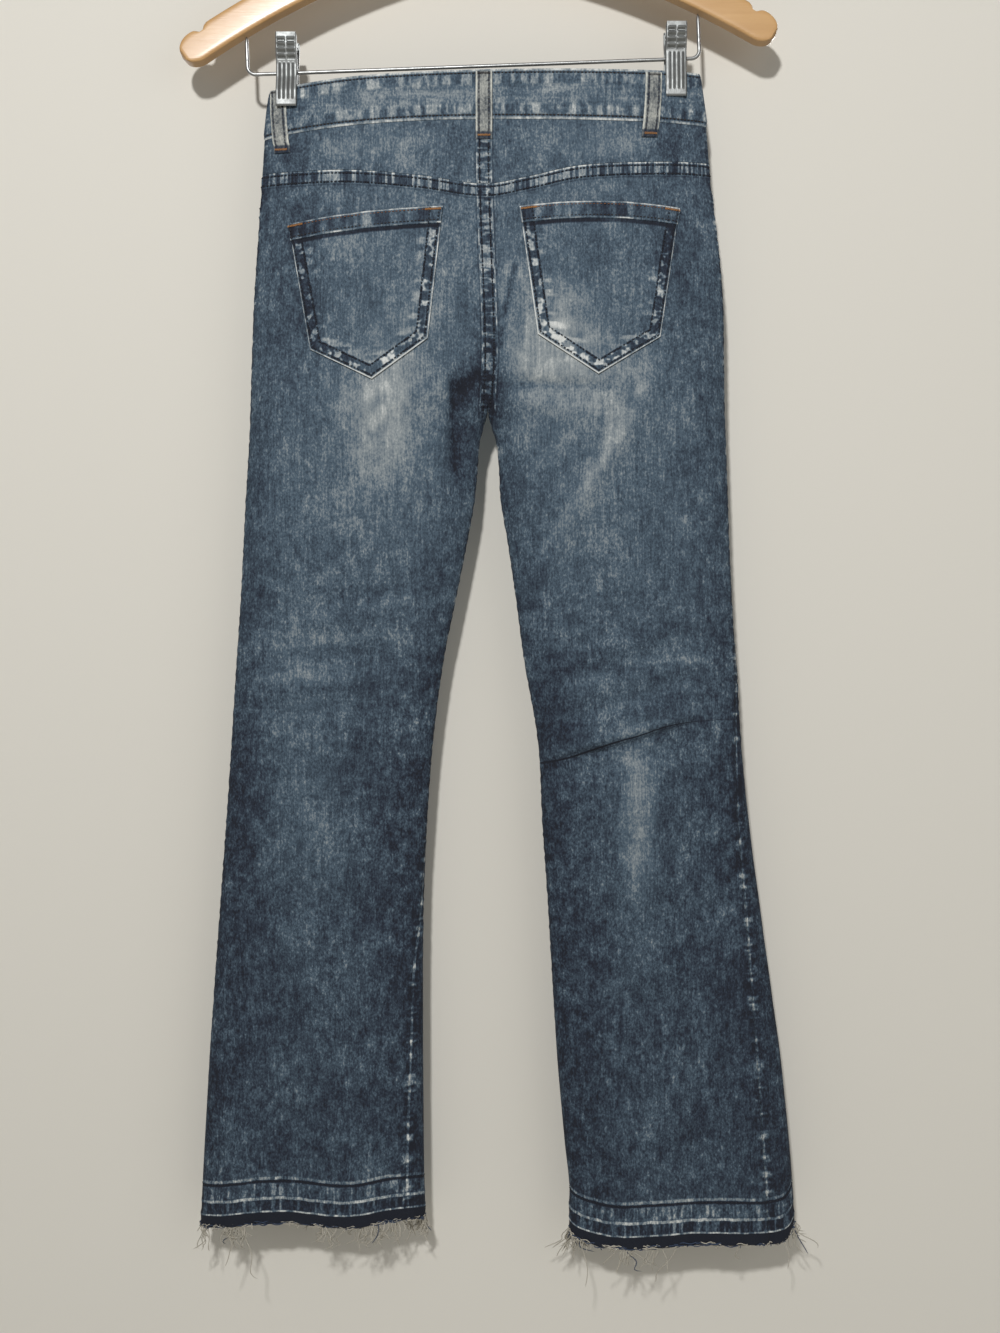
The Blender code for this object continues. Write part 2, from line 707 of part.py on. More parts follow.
def hanger_hook(collection, frame):
    """The hook's wire, up from the wood and over a circle whose inside top is the origin."""
    centre, radius = -HOOK_INSIDE, HOOK_INSIDE + HOOK_WIRE
    start = math.radians(HOOK_STARTS)
    join_x, join_z = radius * math.cos(start), centre + radius * math.sin(start)
    neck_steps, round_steps = 5, 16
    points = [(0.0, 0.0, WOOD_TOP_Z + SEAM_GAP)]
    for n in range(neck_steps):
        t = n / neck_steps
        points.append((join_x * t * t, 0.0, join_z - HOOK_NECK * (1 - t)))
    for n in range(round_steps + 1):
        angle = start + math.radians(HOOK_SWEEP) * n / round_steps
        points.append((radius * math.cos(angle), 0.0, centre + radius * math.sin(angle)))
    return curve_object(
        "hanger_hook", points, STEEL_FINISH, collection, frame,
        dimensions="3D", bevel_depth=HOOK_WIRE * MM, bevel_resolution=2, use_fill_caps=True,
    )


def hanger_bar(collection, frame):
    """The bar's wire: out of the wood's underside, across below the arms and up again."""
    points, bend_steps = [], 4
    for end_x, inwards in ((BAR_LEFT_X, 1), (BAR_RIGHT_X, -1)):
        under = min(arm_under(end_x - BAR_WIRE), arm_under(end_x + BAR_WIRE))
        stretch = [(end_x, 0.0, under - SEAM_GAP)]
        for n in range(bend_steps + 1):
            angle = math.pi / 2 * n / bend_steps
            stretch.append((
                end_x + inwards * BAR_BEND * (1 - math.cos(angle)), 0.0,
                BAR_Z + BAR_BEND * (1 - math.sin(angle)),
            ))
        points += stretch if inwards > 0 else reversed(stretch)
    return curve_object(
        "hanger_bar", points, STEEL_FINISH, collection, frame,
        dimensions="3D", bevel_depth=BAR_WIRE * MM, bevel_resolution=2, use_fill_caps=True,
    )


def bar_place(x):
    """Place along the bar, in the hanger's frame, that is x from the garment's centre line."""
    return (CENTRE_X + x - BAR_Z * math.sin(HANGER_TILT)) / math.cos(HANGER_TILT)


def bar_height(x):
    """Height of the bar's middle in the part's frame, at x from the garment's centre line."""
    return -bar_place(x) * math.sin(HANGER_TILT) + BAR_Z * math.cos(HANGER_TILT)


def clip_jaw(clip, face, grip, collection):
    """One plate of a clip: flat where it grips, close to the spring at the bar and flared at its top."""
    low = WAIST_Z - clip.drop_low
    bar_up = bar_height(clip.middle) - low
    near = SPRING_OUTER + 1.5 * SEAM_GAP
    heights = [0.0, CLIP_TALL * 0.22, bar_up - SPRING_OUTER, bar_up + SPRING_OUTER, CLIP_TALL * 0.8, CLIP_TALL]
    depths = [grip, grip, near, near, CLIP_FLARE * 0.9, CLIP_FLARE]
    sign = -1 if face == "front" else 1

    def skin(extra):
        def point(column, row):
            x = clip.middle + CLIP_WIDE * (column - 0.5)
            return at(x, sign * (depths[row] + extra), WAIST_Z - low - heights[row])
        return point

    bm, _ = wall(1, len(heights) - 1, skin(CLIP_WALL), skin(0.0))
    return place(bm, f"clip_{clip.side}_{face}", ZINC_FINISH, collection)


def turned(name, profile, finish, collection, steps):
    """A closed profile of radius and height turned round Z."""
    mesh = bpy.data.meshes.new(name)
    spots = [(radius * MM, 0.0, height * MM) for radius, height in profile]
    closed = profile[0][0] > 0
    edges = [(n, n + 1) for n in range(len(spots) - 1)] + ([(len(spots) - 1, 0)] if closed else [])
    mesh.from_pydata(spots, edges, [])
    made = bpy.data.objects.new(name, mesh)
    screw = made.modifiers.new("turn", "SCREW")
    screw.steps = screw.render_steps = steps
    screw.use_merge_vertices = True
    screw.merge_threshold = 0.00001
    screw.use_smooth_shade = True
    mesh.materials.append(material(name, *finish))
    collection.objects.link(made)
    return made


def clip_spring(clip, collection, frame):
    """The wound spring of a clip, round the bar."""
    half = SPRING_LONG / 2
    profile = [(SPRING_INNER, half), (SPRING_OUTER, half), (SPRING_OUTER, -half), (SPRING_INNER, -half)]
    made = turned(f"clip_{clip.side}_spring", profile, STEEL_FINISH, collection, 16)
    made.parent = frame
    made.location = (bar_place(clip.middle) * MM, 0.0, BAR_Z * MM)
    made.rotation_euler = (0.0, math.pi / 2, 0.0)
    return made


def waist_button(collection):
    """The shank button on the front of the waistband, facing +Y."""
    rim, tall = BUTTON_WIDE / 2, BUTTON_TALL
    profile = [
        (0.0, tall - 0.5), (rim * 0.7, tall - 0.5), (rim * 0.8, tall), (rim, tall - 0.8),
        (rim, tall - 1.6), (rim * 0.35, tall - 1.8), (rim * 0.35, 0.0), (0.0, 0.0),
    ]
    made = turned("waist_button", profile, BRASS_FINISH, collection, 20)
    drop = value(LEVELS, "band_top", 0) + value(LEVELS, "front_dip", 0) + BAND_TALL / 2
    made.location = on_face("front", BUTTON_X, drop, BAND_OUT + SEAM_GAP)
    made.rotation_euler = (-math.pi / 2, 0.0, 0.0)
    return made


def main():
    for old in list(bpy.data.objects):
        bpy.data.objects.remove(old)
    garment = bpy.data.collections.new("flare_jeans")
    bpy.context.scene.collection.children.link(garment)
    for side, word in ((LEFT, "left"), (RIGHT, "right")):
        for face in ("back", "front"):
            for part in PARTS:
                panel(side, face, part, f"{face}_{part.name}_{word}", garment)
        yoke(side, f"yoke_{word}", garment)
        pocket_facing(side, f"pocket_facing_{word}", garment)
        raw_edge(side, f"raw_edge_{word}", garment)
        front_spots = [(side, top_turn(side, "front", c)) for c in range(COLUMNS + 1)]
        waistband(front_spots, f"waistband_front_{word}", garment)
    back_spots = [(LEFT, top_turn(LEFT, "back", c)) for c in range(COLUMNS, -1, -1)]
    back_spots += [(RIGHT, top_turn(RIGHT, "back", c)) for c in range(1, COLUMNS + 1)]
    waistband(back_spots, "waistband_back", garment)
    for pocket in POCKETS:
        back_pocket(pocket, garment)
    for loop in LOOPS:
        belt_loop(loop, garment)
    fly(garment)
    waist_button(garment)
    frame = hanger_frame(garment)
    hanger_wood(garment, frame)
    hanger_hook(garment, frame)
    hanger_bar(garment, frame)
    for clip in CLIPS:
        clip_jaw(clip, "front", clip.front_grip, garment)
        clip_jaw(clip, "rear", clip.rear_grip, garment)
        clip_spring(clip, garment, frame)


main()
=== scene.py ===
"""Looks of a pair of flare jeans that hang by two clips from a wooden hanger, back towards -Y.

Sizes are in millimetres, as in the part: x from the garment's centre line, drop below the waist, and a turn
round each half of the cloth (0 at the inseam, pi at the outseam, the back between them, then the front).
"""

import logging
import math
import random
from collections.abc import Callable, Sequence
from dataclasses import dataclass, field
from enum import Enum
from typing import Any

import bpy
import numpy as np
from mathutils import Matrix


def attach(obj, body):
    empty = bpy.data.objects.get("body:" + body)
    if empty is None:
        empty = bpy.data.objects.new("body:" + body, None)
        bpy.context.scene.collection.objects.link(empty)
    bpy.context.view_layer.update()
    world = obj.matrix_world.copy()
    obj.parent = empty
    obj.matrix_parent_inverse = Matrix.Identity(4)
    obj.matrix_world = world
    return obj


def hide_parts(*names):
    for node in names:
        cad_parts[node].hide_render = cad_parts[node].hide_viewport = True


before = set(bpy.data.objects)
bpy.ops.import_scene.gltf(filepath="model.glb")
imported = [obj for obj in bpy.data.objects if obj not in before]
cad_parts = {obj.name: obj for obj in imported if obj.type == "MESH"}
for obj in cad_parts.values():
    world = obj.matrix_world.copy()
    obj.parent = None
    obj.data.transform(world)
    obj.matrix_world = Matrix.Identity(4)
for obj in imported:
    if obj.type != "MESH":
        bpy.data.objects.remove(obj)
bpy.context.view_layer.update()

LOG = logging.getLogger("flare_jeans")
MM = 0.001
BODY = "root"
Array = np.ndarray
Triple = tuple[float, float, float]
Object = bpy.types.Object
Material = bpy.types.Material


class Named(Enum):
    """A choice whose name stands in node names."""

    @property
    def word(self) -> str:
        """The name in node names."""
        return self.name.lower()


class Side(Named):
    """The two halves of the garment, as seen from behind it."""

    LEFT = -1
    RIGHT = 1


class Face(Named):
    """The two faces of the garment, with the direction along Y that each looks in."""

    BACK = -1
    FRONT = 1


class Thread(Named):
    """Sewing threads, with each one's colour."""

    BROWN = (0.020, 0.014, 0.013)
    NAVY = (0.006, 0.008, 0.014)
    RUST = (0.17, 0.075, 0.035)
    ORANGE = (0.36, 0.165, 0.05)


@dataclass(frozen=True)
class Table:
    """A short table that is read as smooth curves of its first column."""

    columns: tuple[str, ...]
    rows: tuple[tuple[float, ...], ...]

    def read(self, column: str, key: Array | float) -> Array:
        """Reads a column at one or many keys.

        Args:
            column: The column's name.
            key: Values of the first column.

        Returns:
            The column's smooth values there.
        """
        data = np.array(self.rows, dtype=float)
        keys, heights = data[:, 0], data[:, self.columns.index(column)]
        key = np.clip(np.asarray(key, dtype=float), keys[0], keys[-1])
        slopes = np.empty_like(heights)
        slopes[1:-1] = (heights[2:] - heights[:-2]) / (keys[2:] - keys[:-2])
        slopes[0] = (heights[1] - heights[0]) / (keys[1] - keys[0])
        slopes[-1] = (heights[-1] - heights[-2]) / (keys[-1] - keys[-2])
        i = np.clip(np.searchsorted(keys, key) - 1, 0, len(keys) - 2)
        wide = keys[i + 1] - keys[i]
        t = (key - keys[i]) / wide
        return (
            heights[i] * (1 + 2 * t) * (1 - t) ** 2
            + heights[i + 1] * t * t * (3 - 2 * t)
            + slopes[i] * wide * t * (1 - t) ** 2
            - slopes[i + 1] * wide * t * t * (1 - t)
        )


def smooth(t: Array | float) -> Array:
    """A soft step from 0 to 1."""
    t = np.clip(t, 0.0, 1.0)
    return t * t * (3 - 2 * t)


def bell(distance: Array | float, width: float) -> Array:
    """A soft hump, 1 at no distance."""
    return np.exp(-((distance / width) ** 2))


def ripple(along: Array | float, pitch: float, seed: float) -> Array:
    """An uneven wave of about one pitch, from -1 to 1, along a seam."""
    turn = 2 * math.pi * np.asarray(along) / pitch
    wander = 1.1 * np.sin(turn / 5.3 + seed) + 0.8 * np.sin(turn / 2.7 + 2.1 * seed)
    return 0.65 * np.sin(turn + wander) + 0.35 * np.sin(1.7 * turn + 1.6 * wander + seed)


@dataclass(frozen=True)
class Crease:
    """A soft line on one face: a ridge or trough in millimetres, or a line in shares of tone, which is a worn
    whisker of the wash, painted shade in a crease's trough, or painted highlight on its ridge.
    """

    face: Face
    x: float
    drop: float
    end_x: float
    end_drop: float
    width: float
    out: float
    open_end: bool = False

    def at(self, x: Array, drop: Array) -> Array:
        """How much the line adds at places of its face.

        Args:
            x: Places across, in millimetres.
            drop: Drops below the waist.

        Returns:
            Millimetres outwards, or a change in tone.
        """
        dx, dd = self.end_x - self.x, self.end_drop - self.drop
        long = math.hypot(dx, dd)
        along = ((x - self.x) * dx + (drop - self.drop) * dd) / long / long
        away = np.abs((x - self.x) * dd - (drop - self.drop) * dx) / long
        ends = smooth((along + 0.15) / 0.35)
        if not self.open_end:
            ends = ends * smooth((1.15 - along) / 0.35)
        near = (along > -0.3) & (along < 1.2) & (away < 3 * self.width)
        return np.where(near, self.out * ends * bell(away, self.width), 0.0)


@dataclass(frozen=True)
class Fade:
    """A lighter (or, below zero, darker) place of the tone, with its half width and half height: mostly the
    wash, and where darkest, painted shade in a hollow or fold.
    """

    face: Face
    x: float
    drop: float
    wide: float
    tall: float
    tone: float
    lean: float = 0.0

    def at(self, x: Array, drop: Array) -> Array:
        """The change in tone at places of the face."""
        dx = x - self.x - self.lean * (drop - self.drop)
        return self.tone * np.exp(-((dx / self.wide) ** 2) - ((drop - self.drop) / self.tall) ** 2)


def creases(face: Face, *rows: tuple[float, ...]) -> tuple[Crease, ...]:
    """Creases of one face, one for each row."""
    return tuple(Crease(face, *row) for row in rows)


def fades(face: Face, *rows: tuple[float, ...]) -> tuple[Fade, ...]:
    """Faded places and spots of painted shade of one face, one for each row."""
    return tuple(Fade(face, *row) for row in rows)


BACK, FRONT = Face.BACK, Face.FRONT

# The folds that the part's own cloth has
FOLDS = creases(
    BACK,
    (-23, 232, -22, 306, 7, -3.2), (-40, 240, -52, 320, 13, 1.6), (22, 238, 80, 246, 8, -1.6),
    (40, 511, 152, 478, 13, 3.2), (38, 531, 150, 500, 11, -2.8), (30, 330, 100, 420, 16, -1.4),
    (-160, 420, -70, 450, 16, -1.2), (-150, 610, -60, 640, 14, -1.4), (70, 640, 180, 625, 14, -1.3),
    (-139, 770, -140, 866, 15, -2.6, True), (-100, 740, -98, 866, 14, 2.2, True),
    (-186, 780, -192, 866, 12, 2.0, True), (78, 800, 72, 876, 9, -2.6, True),
    (98, 770, 100, 876, 13, 2.4, True), (146, 790, 150, 876, 15, -2.2, True),
    (185, 760, 190, 876, 14, 2.0, True),
) + creases(
    FRONT,
    (-30, 240, -90, 262, 10, -2.0), (30, 240, 90, 258, 10, -2.0), (-150, 505, -60, 522, 12, -2.2),
    (60, 516, 160, 498, 12, -2.2), (-110, 780, -112, 866, 15, -2.4, True),
    (-165, 770, -168, 866, 14, 2.0, True), (105, 780, 106, 876, 15, -2.2, True),
    (170, 780, 174, 876, 14, 2.2, True),
)

# Finer creases, which only the finished cloth has
CREASES = creases(
    BACK,
    # The sharp tuck across the right knee: the cloth above hangs over the cloth below
    (40, 516, 88, 502, 3.0, 1.5), (82, 504, 150, 484, 3.2, 1.3), (39, 522, 90, 509, 2.6, -2.2),
    (84, 511, 152, 490, 2.6, -1.7), (96, 494, 128, 486, 4.0, -0.9),
    # Above the tuck, soft bands that follow it
    (44, 494, 140, 462, 7, -0.9), (60, 470, 160, 444, 7, 0.8), (48, 462, 150, 426, 8, -0.9),
    (70, 440, 170, 414, 7, 0.7), (36, 442, 110, 416, 6, -0.7),
    # The long drag line from the outer thigh to the knee's inner edge
    (107, 262, 34, 388, 6.0, 1.1), (116, 272, 44, 398, 5.5, -0.8), (128, 226, 100, 300, 9, 0.8),
    # Left thigh and knee
    (-25, 226, -24, 300, 2.6, -1.8), (-24, 246, -4, 231, 5, -1.6), (-22, 266, -10, 298, 3.2, -1.6),
    (-16, 262, -4, 290, 4.0, 1.2), (-34, 262, -36, 330, 5.5, 0.9), (-60, 300, -150, 330, 9, -0.6),
    (-52, 388, -176, 410, 7, -0.7), (-60, 402, -168, 424, 6, 0.6), (-66, 434, -178, 448, 7, -0.8),
    (-58, 452, -160, 468, 6, 0.6), (-72, 474, -180, 484, 7, -0.6), (-64, 500, -150, 506, 8, 0.5),
    (-160, 540, -90, 560, 10, -0.6),
    (-196, 628, -60, 634, 3.5, -0.7), (-190, 700, -80, 716, 10, -0.6), (-196, 752, -120, 742, 9, 0.5),
    # Right calf
    (52, 652, 170, 656, 3.5, -0.7), (62, 700, 190, 690, 10, -0.6), (66, 744, 150, 752, 9, 0.5),
    (60, 560, 150, 548, 9, 0.6), (62, 590, 170, 584, 9, -0.6),
    # Under the seat and at the crotch
    (-14, 214, -8, 262, 3.0, -1.2), (10, 236, 5, 262, 3.2, -1.5), (8, 248, 70, 262, 6, 0.8),
    (10, 238, 92, 240, 2.8, -0.9), (-18, 236, -96, 262, 8, 0.6), (-10, 196, -34, 226, 5, -0.6),
    (12, 130, 34, 152, 5, -0.7), (10, 158, 30, 172, 4, 0.5),
    # The yokes and the waistband, drawn down where it hangs between the clips
    (-150, 66, -60, 64, 6, -0.5), (40, 60, 120, 56, 6, -0.5), (-60, 20, -12, 24, 3.0, -0.5),
    (-54, 30, -16, 31, 2.6, 0.4), (10, 18, 60, 16, 3.0, -0.5), (14, 28, 52, 27, 2.6, 0.4),
    (-130, 22, -90, 30, 4.0, -0.5), (88, 26, 118, 16, 4.0, -0.4),
) + creases(
    FRONT,
    # The front, which hangs the same way
    (-12, 206, -70, 226, 4.5, -1.0), (12, 206, 66, 222, 4.5, -1.0), (-14, 228, -110, 236, 5, 0.8),
    (14, 226, 104, 240, 5, 0.8), (-18, 252, -120, 290, 7, -0.8), (18, 250, 116, 286, 7, -0.8),
    (-60, 470, -170, 452, 6, -0.8), (-58, 490, -150, 480, 5, 0.7), (-62, 536, -160, 548, 6, 0.7),
    (50, 478, 160, 462, 6, -0.8), (54, 534, 158, 520, 5, 0.7), (60, 556, 166, 566, 7, -0.7),
    (-190, 640, -80, 652, 6, -0.6), (80, 650, 190, 640, 6, -0.6), (-130, 120, -60, 150, 9, -0.6),
    (60, 130, 140, 110, 9, -0.6),
)

# The wash: light where the cloth was rubbed and darker in places by the sides; the darkest spots, in the
# crotch and its folds, are painted shade
FADED_AND_SHADED_SPOTS = fades(
    BACK,
    (-78, 262, 27, 42, 0.27, -0.05), (-84, 300, 44, 90, 0.03), (-58, 226, 30, 24, 0.07),
    (58, 226, 44, 24, 0.18), (44, 196, 22, 44, 0.12), (62, 200, 24, 36, 0.13), (92, 222, 30, 20, 0.05),
    (24, 160, 10, 40, 0.06), (58, 264, 44, 34, 0.11), (72, 330, 12, 70, 0.07, -0.55),
    (100, 262, 9, 60, 0.06, -0.55), (-40, 150, 26, 60, 0.03), (-96, 62, 44, 13, 0.13),
    (-88, 110, 40, 8, 0.04), (78, 58, 46, 14, 0.13), (96, 92, 40, 9, 0.07), (-86, 22, 46, 10, 0.07),
    (74, 22, 50, 10, 0.08), (-30, 24, 22, 8, 0.06), (-132, 556, 30, 84, 0.165), (-128, 460, 44, 30, 0.06),
    (111, 556, 14, 74, 0.26), (110, 548, 34, 60, 0.07), (112, 620, 22, 80, 0.04), (-130, 720, 44, 130, 0.03),
    (130, 740, 44, 130, 0.03), (-120, 424, 50, 5, 0.03), (-130, 452, 50, 6, 0.03),
    # The first spot is painted shade in the crease of the left thigh's inner side
    (-20, 262, 5, 34, -0.20), (-30, 120, 14, 40, -0.05), (-136, 160, 16, 50, -0.08),
    (-60, 196, 22, 22, 0.09), (-104, 134, 30, 12, 0.05), (-100, 372, 40, 26, -0.05),
    (134, 150, 16, 60, -0.05),
    (84, 140, 30, 14, -0.06), (-150, 96, 20, 24, -0.05), (138, 56, 16, 18, -0.09),
    (-142, 66, 14, 12, -0.09), (-20, 62, 14, 14, -0.07), (20, 62, 14, 14, -0.06), (20, 220, 14, 30, 0.08),
    # Painted shade in the crotch's hollow and in the inner legs' folds below it
    (0, 246, 14, 30, -0.32), (-16, 290, 10, 30, -0.13), (14, 300, 12, 60, -0.08),
) + fades(
    FRONT,
    (-88, 300, 40, 110, 0.14), (88, 300, 40, 110, 0.14), (-118, 530, 32, 70, 0.14),
    (112, 530, 32, 70, 0.14), (-126, 700, 40, 120, 0.04), (132, 700, 40, 120, 0.04),
    (-90, 110, 40, 30, 0.07), (90, 110, 40, 30, 0.07),
)

# Thin lines of the tone: worn whiskers of the wash, and on the back painted shade along the creases' troughs,
# with painted highlight on some of their ridges
WHISKERS_AND_CREASE_SHADING = creases(
    BACK,
    (106, 264, 34, 372, 3.6, 0.10), (36, 470, 150, 436, 6, 0.04), (50, 452, 160, 412, 7, -0.05),
    (60, 488, 166, 458, 6, 0.05), (46, 500, 150, 470, 4, -0.05), (39, 523, 90, 510, 3.0, -0.07),
    (84, 511, 152, 491, 3.0, -0.05), (40, 513, 150, 482, 3.5, 0.07), (-196, 629, -60, 635, 1.4, -0.05),
    (52, 653, 180, 657, 1.4, -0.04), (8, 240, 96, 241, 3.0, -0.15), (21, 150, 12, 192, 1.8, -0.26),
    (16, 146, 8, 186, 2.2, 0.12), (12, 196, 9, 214, 2.2, -0.22), (-26, 236, -24, 302, 2.4, -0.36),
    (-24, 243, -5, 231, 5.5, -0.42), (-60, 425, -180, 432, 4, 0.04), (-64, 446, -172, 458, 3.5, 0.05),
    (-70, 462, -176, 470, 3, -0.05), (-58, 400, -160, 414, 4, 0.04),
) + creases(
    FRONT,
    (-10, 200, -80, 224, 4, 0.08), (10, 200, 80, 222, 4, 0.08), (-14, 226, -110, 240, 4, 0.08),
    (14, 226, 106, 242, 4, 0.08), (-60, 480, -160, 470, 4, 0.07), (56, 476, 158, 468, 4, 0.07),
)

# The form's edges and depths, by the drop
OUTLINE = Table(
    ("drop", "left_out", "left_in", "right_in", "right_out", "back", "front"),
    (
        (-10, -160.0, -0.4, -0.2, 158.0, 8.0, 8.0), (0, -161.0, -0.4, -0.2, 158.8, 8.0, 8.0),
        (40, -166.0, -2.0, -2.0, 164.0, 9.5, 9.0), (80, -168.8, -2.3, -2.3, 167.0, 13.0, 11.5),
        (130, -172.2, -0.8, -0.8, 173.2, 17.5, 14.0), (175, -175.0, 1.0, 1.0, 176.8, 20.0, 15.5),
        (218, -176.5, 1.9, 2.1, 177.5, 20.0, 16.5), (250, -177.3, 0.0, 1.0, 177.8, 19.5, 17.0),
        (266, -177.8, -1.8, 2.2, 178.2, 19.0, 17.0), (280, -178.4, -5.4, 6.6, 178.8, 18.5, 17.0),
        (300, -179.6, -7.0, 8.6, 179.5, 18.0, 17.0), (323, -181.0, -9.2, 9.8, 180.3, 18.0, 16.5),
        (353, -182.5, -14.5, 14.8, 181.2, 17.5, 16.5), (398, -184.8, -23.5, 21.4, 183.5, 17.0, 16.0),
        (443, -187.8, -32.5, 27.5, 186.5, 16.5, 15.5), (503, -191.5, -40.4, 38.0, 190.0, 16.0, 15.0),
        (563, -195.4, -44.9, 41.4, 196.0, 15.5, 15.0), (623, -199.8, -47.9, 45.5, 203.8, 15.0, 15.0),
        (683, -204.2, -48.2, 48.9, 212.0, 15.0, 15.5), (743, -208.4, -48.0, 52.6, 220.2, 15.5, 16.0),
        (803, -211.8, -47.5, 57.9, 226.2, 16.5, 16.5), (840, -213.8, -46.8, 61.6, 229.0, 17.0, 17.0),
        (900, -217.0, -44.0, 60.0, 233.0, 17.5, 17.5),
    ),
)

# How far the leg seams have turned on to the back, in degrees
TWIST = Table(
    ("drop", "left_out", "left_in", "right_in", "right_out"),
    (
        (-10, 0, 0, 0, 0), (300, 0, 0, 0, 0), (400, 0, 0, 0, 1), (450, -1, 0, -1, 8), (495, -3, 0, -4, 18),
        (551, -6, 0, -8, 26), (600, -9, 4, -12, 30), (634, -12, 12, -15, 32), (672, -14, 23, -18, 35),
        (737, -18, 27, -22, 39), (786, -20, 30, -24, 41), (853, -22, 32, -25, 42), (900, -22, 32, -25, 42),
    ),
)

# Drops of the waistband and the yoke seam, from the left edge (-1) to the right edge (1)
LEVELS = Table(
    ("across", "band_top", "band_bottom", "yoke", "front_dip"),
    (
        (-1.0, 17.0, 53.5, 79.5, 0.0), (-0.85, 12.5, 49.5, 79.0, 0.8), (-0.6, 7.4, 44.6, 78.6, 5.0),
        (-0.28, 4.4, 41.4, 83.5, 11.0), (0.0, 2.9, 40.5, 90.0, 13.0), (0.2, 2.4, 40.4, 84.0, 12.0),
        (0.42, 2.1, 40.6, 75.6, 8.5), (0.8, 2.6, 41.8, 71.6, 1.0), (1.0, 3.6, 43.5, 71.3, 0.0),
    ),
)

# Drop of the raw edge round each leg, by the turn in degrees
HEM = Table(
    ("turn", "left", "right"),
    (
        (0, 860.8, 869.6), (40, 858.8, 877.6), (75, 862.5, 877.4), (110, 859.6, 875.0), (150, 865.0, 875.6),
        (180, 866.2, 864.6), (225, 859.0, 867.0), (270, 862.6, 873.5), (315, 859.8, 870.0),
        (360, 860.8, 869.6),
    ),
)

# The sharp tuck across the back of the right knee, and how sharp its painted shadow is along it
TUCK = Table(
    ("x", "drop", "fine"),
    (
        (30, 521.5, 1.0), (39, 520.0, 1.0), (59, 515.8, 1.0), (77, 509.7, 1.05), (95, 503.6, 1.2),
        (114, 498.2, 1.5), (132, 492.0, 2.0), (150, 488.8, 2.8), (170, 487.0, 6.0),
    ),
)

# How far the front's top edge is scooped away at the pocket mouths
SCOOP = Table(("across", "depth"), ((0.50, 0.0), (0.60, 4.0), (0.75, 30.0), (0.9, 44.0), (1.0, 48.0)))


